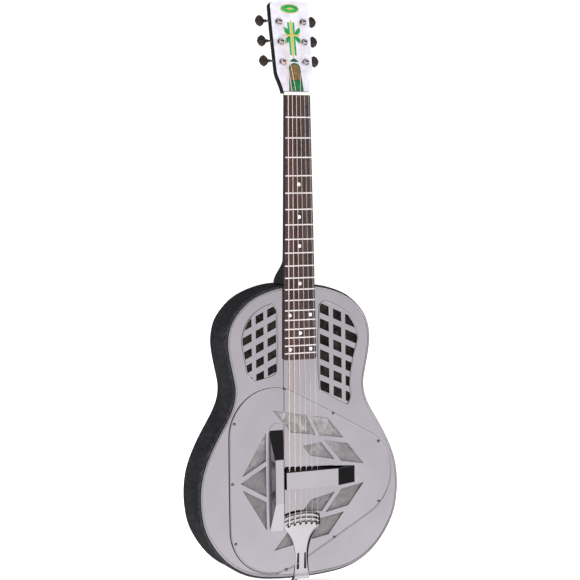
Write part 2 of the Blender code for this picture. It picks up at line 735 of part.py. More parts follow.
def build_tuner(number, u, v):
    """Post with its gear, bushing, gear housing, and the key whose worm turns the gear."""
    side = math.copysign(1, u)
    front = math.radians(90)
    post_profile = [
        (0, POST_TOP), (POST_RADIUS - 0.6 * MM, POST_TOP), (POST_RADIUS, POST_TOP - 0.6 * MM),
        (POST_RADIUS, -GEAR_FRONT), (GEAR_RADIUS, -GEAR_FRONT), (GEAR_RADIUS, -GEAR_BACK),
        (2 * MM, -GEAR_BACK), (2 * MM, -GEAR_BACK - 1.6 * MM), (0, -GEAR_BACK - 1.6 * MM),
    ]  # fmt: skip
    post = turned(f"tuner_post_{number}", post_profile, 14)
    post.rotation_euler.x = front
    post.location = (u, 0, v)
    place(post, CHROME, HEAD)

    bushing_profile = [
        (BUSHING_BORE, 1.7 * MM), (5.8 * MM, 1.7 * MM), (5.8 * MM, GAP), (BUSHING_RADIUS, GAP),
        (BUSHING_RADIUS, -11 * MM), (BUSHING_BORE, -11 * MM),
    ]  # fmt: skip
    bushing = turned(f"tuner_bushing_{number}", bushing_profile, 14, closed=True)
    bushing.rotation_euler.x = front
    bushing.location = (u, 0, v)
    place(bushing, CHROME, HEAD)

    inner = HEAD_BACK + GAP
    housing = box(
        f"tuner_housing_{number}",
        (u - HOUSING_HALF, inner, v - HOUSING_BELOW),
        (u + HOUSING_HALF, inner + HOUSING_DEPTH, v + HOUSING_ABOVE),
    )
    edges = housing.modifiers.new("edges", "BEVEL")
    edges.width = 1.2 * MM
    edges.segments = 1
    place(housing, CHROME, HEAD)
    for name, radius, end in (
        ("gear_pocket", GEAR_RADIUS + 0.4 * MM, GEAR_BACK + GAP),
        ("gear_pivot", 2.4 * MM, GEAR_BACK + 4 * MM),
    ):
        bore = cylinder(f"{name}_{number}", radius, (u, 10 * MM, v), (u, end, v), 14)
        combine(housing, as_cutter(bore, HEAD), "DIFFERENCE")
    worm_v = v + WORM_HEIGHT
    bore_start = (u - side * 7 * MM, WORM_DEPTH, worm_v)
    bore_end = (u + side * 15 * MM, WORM_DEPTH, worm_v)
    bore = cylinder(f"worm_bore_{number}", WORM_RADIUS + GAP, bore_start, bore_end, 14)
    combine(housing, as_cutter(bore, HEAD), "DIFFERENCE")

    key_profile = [
        (0, BUTTON_DISTANCE), (1.5 * MM, BUTTON_DISTANCE), (1.5 * MM, 13.5 * MM), (2.9 * MM, 12.5 * MM),
        (2.9 * MM, 10 * MM), (WORM_RADIUS, 10 * MM), (WORM_RADIUS, -6 * MM), (0, -6 * MM),
    ]  # fmt: skip
    key = turned(f"tuning_key_{number}", key_profile, 12)
    key.rotation_euler.y = side * front
    key.location = (u, WORM_DEPTH, worm_v)
    place(key, BUTTON, HEAD)
    half = 0.5 * CAGE_SHARE * Vector((BUTTON_SIZE.z, BUTTON_SIZE.y, BUTTON_SIZE.x))
    button = box(f"button_{number}", -half, half)
    rounding = button.modifiers.new("rounding", "SUBSURF")
    rounding.levels = 2
    rounding.render_levels = 2
    button.rotation_euler.y = side * front
    button.location = (u + side * BUTTON_DISTANCE, WORM_DEPTH, worm_v)
    combine(key, as_cutter(button, HEAD), "UNION")


# Strings


def string_points(number, radius):
    """Path of a string: tailpiece, saddle, nut, and the turns around its post."""
    share = number / 5 - 0.5
    tail = Vector((share * STRING_SPAN_SADDLE, STRING_TAIL_Y, STRING_TAIL_Z))
    saddle = Vector((share * STRING_SPAN_SADDLE, STRING_SADDLE_Y, BRIDGE_Z - 2 * MM))
    nut = Vector((share * STRING_SPAN_NUT, STRING_NUT_Y, NUT_DEPTH + GAP))
    side = -1 if number < 3 else 1
    row = number if number < 3 else 5 - number
    u = side * TUNER_HALF_SPANS[row]
    v = TUNER_HEIGHTS[row]
    coil = POST_RADIUS + GAP + radius
    pitch = 2 * radius + 0.25 * MM
    steps = 9
    turns = 1.8
    points = [tail, saddle, nut]
    first_height = 6.6 * MM
    tilt = Vector((0, math.sin(HEAD_TILT), math.cos(HEAD_TILT)))
    front = Vector((0, -math.cos(HEAD_TILT), math.sin(HEAD_TILT)))
    for step in range(int(steps * turns) + 1):
        angle = -side * (math.tau * step / steps) + (math.pi if side > 0 else 0)
        height = first_height - pitch * step / steps
        in_plane = Vector((u + coil * math.cos(angle), 0, 0)) + tilt * (v + coil * math.sin(angle))
        points.append(HEAD_ORIGIN + in_plane + front * height)
    return points


def build_strings():
    for number, radius in enumerate(STRING_RADII):
        look = BRONZE if number < 4 else STEEL
        place(rod(f"string_{number + 1}", string_points(number, radius), radius), look)


clear_scene()
GUITAR = new_collection("resonator_guitar")
CUTTERS = new_collection("cutters")
HEAD = bpy.data.objects.new("headstock_frame", None)
GUITAR.objects.link(HEAD)
HEAD.location = HEAD_ORIGIN
HEAD.rotation_euler.x = -HEAD_TILT
build_body()
build_cover()
build_handrest()
build_tailpiece()
build_inside()
build_neck()
for tuner, (tuner_u, tuner_v) in enumerate(tuner_places(), 1):
    build_tuner(tuner, tuner_u, tuner_v)
build_strings()
bpy.context.view_layer.update()
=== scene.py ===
"""Looks of a three-cone resonator guitar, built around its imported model.

Lengths are in millimetres, in the row frame, and become metres where a mesh or an object is made.
X runs to the treble side, Y from the front to the back and Z up along the neck. The origin is on the
centre line, where the nut meets the fretboard, in the plane of the body's top.
"""

import json
import math

import bmesh
import bpy
from mathutils import Matrix, Vector, noise


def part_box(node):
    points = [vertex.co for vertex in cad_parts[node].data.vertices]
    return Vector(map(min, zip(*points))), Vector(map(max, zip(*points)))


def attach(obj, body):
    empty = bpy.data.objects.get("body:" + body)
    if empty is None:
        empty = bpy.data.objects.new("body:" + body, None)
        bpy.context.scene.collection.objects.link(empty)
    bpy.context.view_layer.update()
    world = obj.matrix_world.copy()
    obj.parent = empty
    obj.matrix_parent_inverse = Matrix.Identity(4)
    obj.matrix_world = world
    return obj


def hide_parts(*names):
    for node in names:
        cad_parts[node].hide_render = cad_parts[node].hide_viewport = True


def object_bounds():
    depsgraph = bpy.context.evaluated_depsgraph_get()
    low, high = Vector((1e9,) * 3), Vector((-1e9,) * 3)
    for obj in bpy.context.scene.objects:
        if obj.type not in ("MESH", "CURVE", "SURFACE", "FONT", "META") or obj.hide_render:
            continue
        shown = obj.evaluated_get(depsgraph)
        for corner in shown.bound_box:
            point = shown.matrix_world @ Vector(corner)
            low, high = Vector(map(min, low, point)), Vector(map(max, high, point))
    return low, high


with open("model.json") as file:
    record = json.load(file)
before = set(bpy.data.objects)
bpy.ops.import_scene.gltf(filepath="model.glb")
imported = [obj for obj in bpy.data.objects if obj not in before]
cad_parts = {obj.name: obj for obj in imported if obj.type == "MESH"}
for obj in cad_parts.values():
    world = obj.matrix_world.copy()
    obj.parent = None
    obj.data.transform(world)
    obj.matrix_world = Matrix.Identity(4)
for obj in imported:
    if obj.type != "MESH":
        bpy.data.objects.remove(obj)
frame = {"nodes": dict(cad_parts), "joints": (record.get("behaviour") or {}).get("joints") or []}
cad_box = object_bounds()

MM = 0.001
SIDES = {-1: "left", 1: "right"}

# Headstock frame: X, then V up along the headstock and W into it, from the joints of its tuners.
HEAD_ORIGIN = Vector((0, -1, 5.5))
JOINTS = {joint["name"]: joint for joint in frame["joints"]}
POST_AXIS = Vector(JOINTS["post_1_turn"]["axis"])
HEAD_TILT = math.atan2(POST_AXIS.z, -POST_AXIS.y)
HEAD = Matrix.Translation(HEAD_ORIGIN) @ Matrix.Rotation(-HEAD_TILT, 4, "X")

SCALE_LENGTH = 635
FRET_COUNT = 19
BRIDGE_Z = -633
STRING_RADII = (0.71, 0.57, 0.445, 0.33, 0.24, 0.22)
WOUND_STRINGS = 4
STRING_SPAN_NUT = 36.5
STRING_SPAN_SADDLE = 51.5


def box_mm(node):
    """Lowest and highest corner of a CAD node, in millimetres."""
    low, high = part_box(node)
    return low / MM, high / MM


def post_seat(number):
    """Where a tuner post leaves the headstock's face, in the headstock frame."""
    return HEAD.inverted() @ (Vector(JOINTS[f"post_{number}_turn"]["pos_m"]) / MM)


def string_x(number, spread):
    """Place of a string, from 0 to 5, where all six take up this width."""
    return (number / 5 - 0.5) * spread


def translation(x, y, z):
    return Matrix.Translation((x, y, z))


def rotation(degrees, axis):
    return Matrix.Rotation(math.radians(degrees), 4, axis)


def grey(value):
    return (value, value, value)


def add_object(name, data):
    obj = bpy.data.objects.new(name, data)
    bpy.context.scene.collection.objects.link(obj)
    return obj


def mesh_of(name, bm):
    """The bmesh, which is used up, as a mesh."""
    mesh = bpy.data.meshes.new(name)
    bm.to_mesh(mesh)
    bm.free()
    return mesh


# Nodes


def link(tree, value, socket):
    """Fill a socket with another node's output, a color, a vector or a number."""
    if isinstance(value, bpy.types.NodeSocket):
        tree.links.new(value, socket)
    else:
        socket.default_value = (*value, 1) if socket.type == "RGBA" else value


def add_node(tree, kind, inputs, output, **settings):
    """Add a shader node, fill its inputs and give one of its outputs."""
    node = tree.nodes.new(f"ShaderNode{kind}")
    for name, value in settings.items():
        setattr(node, name, value)
    for socket, value in inputs.items():
        link(tree, value, node.inputs[socket])
    return node.outputs[output]


# Camera, light and floor


def make_camera():
    """Camera on the bass side, a little above the middle, tipped slightly about its own view axis."""
    yaw = 0.41888
    pitch = 0.0677815
    roll = -0.0107965
    distance = 2.6
    aim = (-0.010496, -0.318319)
    forward = Vector(
        (math.sin(yaw) * math.cos(pitch), math.cos(yaw) * math.cos(pitch), -math.sin(pitch))
    )
    level = Vector((math.cos(yaw), -math.sin(yaw), 0))
    upright = level.cross(forward)
    right = math.cos(roll) * level + math.sin(roll) * upright
    up = -math.sin(roll) * level + math.cos(roll) * upright
    data = bpy.data.cameras.new("camera")
    data.sensor_width = 36
    data.lens = 98.6118
    data.clip_start = 0.05
    data.clip_end = 60
    camera = add_object("camera", data)
    turn = Matrix((right, up, -forward)).transposed()
    place = -distance * forward + aim[0] * right + aim[1] * up
    camera.matrix_world = Matrix.Translation(place) @ turn.to_4x4()
    bpy.context.scene.camera = camera


def make_world():
    """Even white light, which polished metal sees as a studio: pale in front, dark above and behind."""
    world = bpy.data.worlds.new("studio")
    bpy.context.scene.world = world
    world.use_nodes = True
    tree = world.node_tree
    direction = add_node(tree, "TexCoord", {}, "Generated")

    def along(axis, *stops):
        """Greys at places from one end of an axis (0) to the other (1)."""
        part = add_node(tree, "SeparateXYZ", {0: direction}, axis)
        share = add_node(tree, "Math", {0: part, 1: 0.5, 2: 0.5}, 0, operation="MULTIPLY_ADD")
        ramp = tree.nodes.new("ShaderNodeValToRGB")
        elements = ramp.color_ramp.elements
        for position, _ in stops[1:-1]:
            elements.new(position)
        for element, (_, value) in zip(elements, stops):
            element.color = (*grey(value), 1)
        tree.links.new(share, ramp.inputs["Fac"])
        return ramp.outputs["Color"]

    def mixed(share, a, b, blend):
        inputs = {"Factor": share, "A": a, "B": b}
        return add_node(tree, "Mix", inputs, "Result", data_type="RGBA", blend_type=blend)

    rise = along(
        "Z", (0, 0.95), (0.3, 0.95), (0.37, 0.86), (0.46, 0.7), (0.53, 0.58),
        (0.6, 0.42), (0.66, 0.03), (0.8, 0.015), (0.93, 0.25), (1, 0.3),
    )  # fmt: skip
    behind = along("Y", (0, 1), (0.52, 1), (0.62, 0.1), (1, 0.1))
    sides = along("X", (0, 0.3), (0.045, 0.07), (0.12, 0.08), (0.22, 1), (0.85, 1), (0.91, 0.03), (1, 0.03))
    studio = mixed(1, mixed(1, rise, behind, "MULTIPLY"), sides, "MULTIPLY")
    glossy = add_node(tree, "LightPath", {}, "Is Glossy Ray")
    link(tree, mixed(glossy, grey(1.12), studio, "MIX"), tree.nodes["Background"].inputs["Color"])


def make_lights():
    """Two soft boxes, one above on each side, that give the matt surfaces their shape."""
    for name, place, size, power in (
        ("key_softbox", (-1.6, -2.2, 1.3), 1.6, 26),
        ("fill_softbox", (2.2, -1.8, 0.6), 1.6, 12),
    ):
        data = bpy.data.lights.new(name, "AREA")
        data.size = size
        data.energy = power
        light = add_object(name, data)
        light.location = place
        aim = Vector((0, 0, -0.45)) - light.location
        light.rotation_euler = aim.to_track_quat("-Z", "Y").to_euler()
        light.visible_glossy = False


def make_floor():
    bm = bmesh.new()
    bmesh.ops.create_grid(bm, x_segments=1, y_segments=1, size=6)
    floor = add_object("floor", mesh_of("floor", bm))
    floor.location.z = cad_box[0].z - 0.002
    floor.visible_glossy = False
    look = Look("pale_floor", grey(0.96), 0.9, Emission_Color=grey(1), Emission_Strength=0.6)
    look.color(look.noise(3), grey(0.95), grey(0.97))
    floor.data.materials.append(look.material)


# Materials


class Look:
    """Principled material whose procedural parts are added by short calls."""

    def __init__(self, name, color, roughness, metallic=0.0, **sockets):
        self.material = bpy.data.materials.new(name)
        self.material.use_nodes = True
        self.tree = self.material.node_tree
        self.shader = self.tree.nodes["Principled BSDF"]
        self.place = self.node("TexCoord", {}, "Object")
        self.fill(Base_Color=color, Roughness=roughness, Metallic=metallic, **sockets)

    def fill(self, **sockets):
        """Fill the shader's sockets, whose names have _ for each space."""
        for socket, value in sockets.items():
            link(self.tree, value, self.shader.inputs[socket.replace("_", " ")])

    def node(self, kind, inputs, output, **settings):
        return add_node(self.tree, kind, inputs, output, **settings)

    def mapped(self, **inputs):
        """The material's place, moved, turned or stretched by Location, Rotation and Scale."""
        return self.node("Mapping", {"Vector": self.place, **inputs}, "Vector", vector_type="POINT")

    def noise(self, scale, detail=3, stretch=(1, 1, 1), warp=0.0, roughness=0.5):
        """Cloudy values from 0 to 1, with this many features to a metre."""
        inputs = {"Scale": scale, "Detail": detail, "Roughness": roughness, "Distortion": warp}
        return self.node("TexNoise", {"Vector": self.mapped(Scale=stretch), **inputs}, "Fac")

    def bands(self, scale, direction, **mapping):
        inputs = {"Vector": self.mapped(**mapping), "Scale": scale}
        return self.node("TexWave", inputs, "Fac", bands_direction=direction)

    def span(self, value, low, high, start=0.3, end=0.7):
        """The value's stretch from start to end, drawn out to run from low to high."""
        inputs = {"Value": value, "From Min": start, "From Max": end, "To Min": low, "To Max": high}
        return self.node("MapRange", inputs, "Result", interpolation_type="SMOOTHSTEP")

    def mix(self, share, a, b):
        return self.node("Mix", {"Factor": share, "A": a, "B": b}, "Result", data_type="RGBA")

    def multiply(self, a, b):
        return self.node("Math", {0: a, 1: b}, 0, operation="MULTIPLY")

    def color(self, share, a, b):
        self.fill(Base_Color=self.mix(share, a, b))

    def roughness(self, value, low, high):
        self.fill(Roughness=self.span(value, low, high))

    def bump(self, height, strength, depth):
        """Relief this many millimetres deep; a second call adds to the first."""
        inputs = {"Strength": strength, "Distance": depth * MM, "Height": height}
        normal = self.shader.inputs["Normal"]
        if normal.is_linked:
            inputs["Normal"] = normal.links[0].from_socket
        self.fill(Normal=self.node("Bump", inputs, "Normal"))


def plated(name, color, low, high, wave=0.05, metallic=1.0):
    """Bright plating over hand-worked sheet: faint waves, haze and fine wiping marks."""
    look = Look(name, color, low, metallic)
    darker = tuple(c * 0.93 for c in color)
    look.color(look.span(look.noise(14, 3), 0, 1), darker, color)
    haze = look.noise(30, 5, warp=0.6)
    look.roughness(haze, low, high)
    look.bump(look.noise(16, 1), wave, 0.6)
    wiping = look.noise(900, 2, stretch=(1, 1, 0.06))
    look.bump(wiping, 0.03, 0.02)
    return look.material


def dark_coat():
    """Near-black coat: on the sides it is painted dark reflection in place of plating, and the back shares
    it; a fine crinkle with painted sheen on its raised spots.
    """
    look = Look("dark_coat", (0.017, 0.017, 0.019), 0.45, 0.0, Specular_IOR_Level=0.45)
    grain = look.noise(420, 5, stretch=(1, 1, 0.45), warp=0.5, roughness=0.65)
    cloud = look.noise(22, 3)
    # Paler raised spots of the crinkle: painted sheen.
    painted_sheen_spots = look.multiply(look.span(grain, 0, 1, 0.42, 0.72), look.span(cloud, 0.4, 1))
    look.color(painted_sheen_spots, (0.011, 0.011, 0.014), (0.062, 0.063, 0.074))
    look.roughness(grain, 0.34, 0.6)
    look.bump(grain, 0.35, 0.25)
    return look.material


def lacquer():
    """Deep black lacquer with a trace of orange peel and polishing haze."""
    look = Look("black_lacquer", (0.008, 0.008, 0.009), 0.12, 0.0, Coat_Weight=0.6)
    look.color(look.noise(40), (0.006, 0.006, 0.007), (0.013, 0.012, 0.013))
    look.roughness(look.noise(60, 4), 0.1, 0.2)
    look.bump(look.noise(500, 2), 0.05, 0.05)
    return look.material


def rosewood():
    """Dark rosewood: streaks along the neck, fine open pores and a dry sheen."""
    look = Look("rosewood", (0.05, 0.03, 0.03), 0.5)
    streaks = look.noise(190, 5, stretch=(1, 1, 0.045), warp=0.8, roughness=0.6)
    tone = look.mix(look.span(streaks, 0, 1), (0.024, 0.013, 0.014), (0.085, 0.046, 0.044))
    pores = look.noise(1500, 2, stretch=(1, 1, 0.07))
    open_pores = look.span(pores, 1, 0, 0.33, 0.42)
    look.color(open_pores, tone, (0.014, 0.009, 0.01))
    look.roughness(streaks, 0.42, 0.6)
    look.bump(pores, 0.25, 0.12)
    return look.material


def maple():
    look = Look("maple", (0.6, 0.42, 0.25), 0.5)
    grain = look.noise(120, 4, stretch=(1, 1, 0.06), warp=0.5)
    look.color(look.span(grain, 0, 1), (0.5, 0.33, 0.19), (0.66, 0.48, 0.3))
    look.bump(grain, 0.1, 0.1)
    return look.material


def bone():
    look = Look("bone", (0.85, 0.83, 0.78), 0.35, 0.0, Subsurface_Weight=0.1)
    look.color(look.noise(300, 4, stretch=(0.2, 1, 1)), (0.78, 0.75, 0.68), (0.9, 0.88, 0.84))
    look.roughness(look.noise(600), 0.28, 0.45)
    return look.material


def pearloid(name="pearloid", tint=(0.62, 0.605, 0.68)):
    """Pearl celluloid: drifting flakes of pale silver, each catching the light its own way."""
    look = Look(name, tint, 0.22, 0.0, Coat_Weight=0.5)
    flakes = look.node(
        "TexVoronoi", {"Vector": look.mapped(), "Scale": 95}, "Color", feature="SMOOTH_F1"
    )
    shade = look.span(flakes, 0, 1, 0.1, 0.9)
    drift = look.noise(45, 4, warp=2.0)
    pale = look.mix(shade, tuple(c * 0.84 for c in tint), tint)
    look.color(look.span(drift, 0, 0.6), pale, tuple(min(1, c * 1.12) for c in tint))
    look.roughness(drift, 0.14, 0.32)
    look.bump(drift, 0.05, 0.1)
    return look.material


def enamel(name, dark, light, roughness=0.2):
    look = Look(name, light, roughness, 0.0, Coat_Weight=0.4)
    look.color(look.span(look.noise(160, 4), 0, 1), dark, light)
    look.roughness(look.noise(300), roughness * 0.7, roughness * 1.5)
    look.bump(look.noise(260, 2), 0.1, 0.08)
    return look.material


def button_plastic():
    """Very dark brown moulded buttons with a faint mottle and a worn gloss."""
    look = Look("button_plastic", (0.025, 0.018, 0.016), 0.3)
    mottle = look.noise(260, 4, warp=1.0)
    look.color(look.span(mottle, 0, 1), (0.014, 0.01, 0.009), (0.05, 0.036, 0.03))
    look.roughness(look.noise(500, 3), 0.22, 0.42)
    look.bump(mottle, 0.1, 0.1)
    return look.material


def wound_wire(name, bright, dark, turns):
    """Wire with a winding, drawn as fine ribs across its length, with painted shade in the grooves between
    them.
    """
    look = Look(name, bright, 0.34, 0.2)
    ribs = look.bands(turns, "Z")
    tone = look.mix(look.span(ribs, 0, 1, 0.1, 0.8), dark, bright)
    look.color(look.span(look.noise(50), 0, 0.35), tone, dark)
    look.roughness(look.noise(200), 0.22, 0.4)
    look.bump(ribs, 0.5, 0.1)
    return look.material


def gauze(name, bright, dark, gap):
    """Fine woven wire: crossing wires over dark gaps, creased, with painted light and shade along the
    creases, and darker below a set height.
    """
    look = Look(name, bright, 0.38, 0.35)
    pitch = 290
    diagonal = (0, math.radians(45), 0)
    warp = look.bands(pitch, "X", Rotation=diagonal)
    weft = look.bands(pitch, "Z", Rotation=diagonal)
    weave = look.multiply(look.span(warp, 0.35, 1, 0.05, 0.6), look.span(weft, 0.35, 1, 0.05, 0.6))
    creases = look.noise(42, 6, warp=1.6, roughness=0.62)
    # Painted light and shade: dark to bright with the same creases that the bump follows.
    crease_light_and_shade = look.mix(look.span(creases, 0, 1, 0.32, 0.68), dark, bright)
    height = look.node("SeparateXYZ", {0: look.place}, "Z")
    low_share = look.span(height, 0.75, 0, -0.62, -0.56)
    tone = look.mix(low_share, crease_light_and_shade, tuple(0.75 * c for c in dark))
    look.color(weave, gap, tone)
    look.roughness(creases, 0.28, 0.5)
    look.bump(creases, 0.55, 2.2)
    look.bump(weave, 0.4, 0.15)
    return look.material


def spun_aluminium(name, centre):
    look = Look(name, (0.72, 0.72, 0.73), 0.35, 1.0)
    place = look.mapped(Location=[-c for c in centre])
    rings = look.node(
        "TexWave", {"Vector": place, "Scale": 160}, "Fac", wave_type="RINGS", rings_direction="Y"
    )
    look.color(look.span(rings, 0, 1), (0.62, 0.62, 0.63), (0.78, 0.78, 0.79))
    look.roughness(look.noise(90, 4), 0.28, 0.45)
    look.bump(rings, 0.15, 0.1)
    return look.material


# Outlines, as lists of (x, z)


def outline_loops(node, to_plane=None):
    """Closed outlines of a flat CAD plate's front face, the longest first."""
    to_plane = to_plane or Matrix.Identity(4)
    bm = bmesh.new()
    bm.from_mesh(frame["nodes"][node].data)
    bmesh.ops.scale(bm, vec=(1 / MM, 1 / MM, 1 / MM), verts=bm.verts)
    bmesh.ops.transform(bm, matrix=to_plane, verts=bm.verts)
    bmesh.ops.remove_doubles(bm, verts=bm.verts, dist=0.002)
    front_y = min(vert.co.y for vert in bm.verts) + 0.05
    front = {face for face in bm.faces if all(vert.co.y < front_y for vert in face.verts)}
    following = {}
    for face in bm.faces:  # in its fixed order, which a set doesn't have
        for loop in face.loops if face in front else ():
            if loop.link_loop_radial_next.face not in front:
                following[loop.vert] = loop.link_loop_next.vert
    loops = []
    while following:
        start, vert = following.popitem()
        ring = [start]
        while vert is not start:
            ring.append(vert)
            vert = following.pop(vert)
        loops.append(without_straight_points([(v.co.x, v.co.z) for v in ring]))
    bm.free()
    loops.sort(key=lambda ring: -perimeter(ring))
    return loops


def perimeter(loop):
    return sum((Vector(a) - Vector(b)).length for a, b in zip(loop, loop[1:] + loop[:1]))


def without_straight_points(loop):
    """The outline without the points that lie within its straight edges."""
    kept = []
    for i, point in enumerate(loop):
        before = Vector(point) - Vector(loop[i - 1])
        after = Vector(loop[(i + 1) % len(loop)]) - Vector(point)
        if before.length < 1e-4 or after.length < 1e-4 or before.angle(after) > math.radians(0.4):
            kept.append(point)
    return kept


def refined(loop, spacing, corner=38):
    """Smooth curve through the outline's points, sharp only where it turns by the corner angle or more."""
    points = [Vector(p) for p in loop]
    count = len(points)

    def tangent(i, chord):
        before = points[i] - points[i - 1]
        after = points[(i + 1) % count] - points[i]
        if before.angle(after) > math.radians(corner):
            return chord.normalized()
        return (before + after).normalized()

    curve = []
    for i in range(count):
        start = points[i]
        end = points[(i + 1) % count]
        chord = end - start
        leave = tangent(i, chord) * chord.length
        arrive = tangent((i + 1) % count, chord) * chord.length
        steps = max(1, math.ceil(chord.length / spacing))
        if (leave - arrive).length < 0.01 * chord.length:
            steps = 1
        for step in range(steps):
            t = step / steps
            curve.append(tuple(hermite(start, end, leave, arrive, t)))
    return curve


def hermite(start, end, leave, arrive, t):
    return (
        start * (2 * t**3 - 3 * t**2 + 1)
        + leave * (t**3 - 2 * t**2 + t)
        + end * (3 * t**2 - 2 * t**3)
        + arrive * (t**3 - t**2)
    )


def signed_area(loop):
    return sum(a[0] * b[1] - b[0] * a[1] for a, b in zip(loop, loop[1:] + loop[:1])) / 2


def inset(loop, distance):
    """The outline moved inwards, each point along its own normal."""
    side = distance if signed_area(loop) > 0 else -distance
    count = len(loop)
    moved = []
    for i, (x, z) in enumerate(loop):
        before = (Vector((x, z)) - Vector(loop[i - 1])).normalized()
        after = (Vector(loop[(i + 1) % count]) - Vector((x, z))).normalized()
        tangent = (before + after).normalized()
        reach = side / max(0.35, tangent.dot(after))
        moved.append((x - reach * tangent.y, z + reach * tangent.x))
    return moved


def ellipse(x, z, half_x, half_z, steps):
    turns = [math.tau / steps * i for i in range(steps)]
    return [(x + half_x * math.cos(a), z + half_z * math.sin(a)) for a in turns]


def circle(x, z, radius, steps=24):
    return ellipse(x, z, radius, radius, steps)


def half_round(x, z, half_x, half_z, start, steps):
    """Points on half an ellipse, from this angle on."""
    turns = [start + math.pi * i / steps for i in range(steps + 1)]
    return [(x + half_x * math.cos(a), z + half_z * math.sin(a)) for a in turns]


def inside(loop, x, z):
    within = False
    for (x0, z0), (x1, z1) in zip(loop, loop[1:] + loop[:1]):
        if (z0 > z) != (z1 > z) and x < (x1 - x0) * (z - z0) / (z1 - z0) + x0:
            within = not within
    return within


def eased(stations, value):
    """Smooth reading between stations (place, number, ...), sorted by rising place."""
    places = [s[0] for s in stations]
    value = min(max(value, places[0]), places[-1])
    i = max(k for k in range(len(places) - 1) if places[k] <= value)
    t = (value - places[i]) / (places[i + 1] - places[i])

    def slope(k):
        low = max(k - 1, 0)
        high = min(k + 1, len(places) - 1)
        run = places[high] - places[low]
        return [(b - a) / run for a, b in zip(stations[low][1:], stations[high][1:])]

    run = places[i + 1] - places[i]
    read = []
    for a, b, sa, sb in zip(stations[i][1:], stations[i + 1][1:], slope(i), slope(i + 1)):
        read.append(hermite(a, b, sa * run, sb * run, t))
    return read


# Shapes, as bmeshes in millimetres


def evaluated(obj):
    """The object's shape after its curve settings and modifiers."""
    bpy.context.view_layer.update()
    graph = bpy.context.evaluated_depsgraph_get()
    mesh = bpy.data.meshes.new_from_object(obj.evaluated_get(graph))
    bm = bmesh.new()
    bm.from_mesh(mesh)
    bpy.data.meshes.remove(mesh)
    return bm


def plate(loops, front, back, edge=0.4, rounds=2):
    """Flat sheet in X and Z with rounded edges; the loops after the first are its holes."""
    curve = bpy.data.curves.new("outline", "CURVE")
    curve.dimensions = "2D"
    curve.fill_mode = "BOTH"
    curve.extrude = (back - front) / 2 - edge
    curve.bevel_depth = edge
    curve.bevel_resolution = rounds
    curve.offset = -edge
    for loop in loops:
        spline = curve.splines.new("POLY")
        spline.points.add(len(loop) - 1)
        for point, (x, z) in zip(spline.points, loop):
            point.co = (x, z, 0, 1)
        spline.use_cyclic_u = True
    obj = add_object("outline", curve)
    bm = evaluated(obj)
    bpy.data.objects.remove(obj, do_unlink=True)
    bmesh.ops.remove_doubles(bm, verts=bm.verts, dist=0.01)
    middle = (front + back) / 2
    for vert in bm.verts:
        vert.co = (vert.co.x, middle - vert.co.z, vert.co.y)
    return bm


def skin(rings, closed=True, cap=False, around=True):
    """Surface through rings of equal point count; closed joins the last ring to the first."""
    bm = bmesh.new()
    rows = [[bm.verts.new(co) for co in ring] for ring in rings]
    count = len(rows[0])
    pairs = list(zip(rows, rows[1:]))
    if closed:
        pairs.append((rows[-1], rows[0]))
    for upper, lower in pairs:
        for i in range(count if around else count - 1):
            j = (i + 1) % count
            bm.faces.new((upper[i], upper[j], lower[j], lower[i]))
    if cap:
        bm.faces.new(rows[0])
        bm.faces.new(list(reversed(rows[-1])))
    return bm


def solid(rings):
    """Closed shape through rings of equal point count, filled at both ends."""
    return skin(rings, closed=False, cap=True)


def swept(outline, profile):
    """Closed band along the outline, with a section of (distance inwards, y)."""
    return skin([[(x, y, z) for x, z in inset(outline, d)] for d, y in profile])


def revolved(profile, steps=24):
    """Turned piece about local Z from (radius, height) pairs; a radius of 0 closes it."""
    bm = bmesh.new()
    rows = []
    for radius, height in profile:
        if radius < 1e-6:
            rows.append([bm.verts.new((0, 0, height))])
        else:
            ring = circle(0, 0, radius, steps)
            rows.append([bm.verts.new((x, y, height)) for x, y in ring])
    for upper, lower in zip(rows, rows[1:]):
        for i in range(steps):
            j = (i + 1) % steps
            corners = ((upper, i), (upper, j), (lower, j), (lower, i))
            face = list(dict.fromkeys(row[k % len(row)] for row, k in corners))
            if len(face) > 2:
                bm.faces.new(face)
    return bm


def rod(radius, half, steps):
    """Cylinder about local Z, with its middle at the origin."""
    return revolved([(0, half), (radius, half), (radius, -half), (0, -half)], steps)


def block(low, high, edge=0.0, segments=2):
    """Box between two corners, with rounded edges."""
    bm = bmesh.new()
    bmesh.ops.create_cube(bm, size=1)
    low = Vector(low)
    high = Vector(high)
    for vert in bm.verts:
        share = vert.co + Vector((0.5, 0.5, 0.5))
        vert.co = low + share * (high - low)
    if edge:
        bmesh.ops.bevel(
            bm, geom=bm.edges[:], offset=edge, segments=segments, profile=0.5, affect="EDGES"
        )
    return bm


def tube(points, radius, sides=10):
    """Round wire through the points, closed at both ends."""
    points = [Vector(p) for p in points]
    ahead = (points[1] - points[0]).normalized()
    across = ahead.orthogonal().normalized()
    rings = []
    for i, point in enumerate(points):
        before = points[max(i - 1, 0)]
        after = points[min(i + 1, len(points) - 1)]
        heading = (after - before).normalized()
        across = (across - heading * across.dot(heading)).normalized()
        other = heading.cross(across)
        turns = [math.tau * k / sides for k in range(sides)]
        size = radius[i] if isinstance(radius, (list, tuple)) else radius
        rings.append([point + size * (across * math.cos(a) + other * math.sin(a)) for a in turns])
    return solid(rings)


def moved(bm, matrix):
    bmesh.ops.transform(bm, matrix=matrix, verts=bm.verts)
    return bm


def joined(*parts):
    """One bmesh that holds all the parts."""
    whole = bmesh.new()
    for part in parts:
        mesh = mesh_of("part", part)
        whole.from_mesh(mesh)
        bpy.data.meshes.remove(mesh)
    return whole


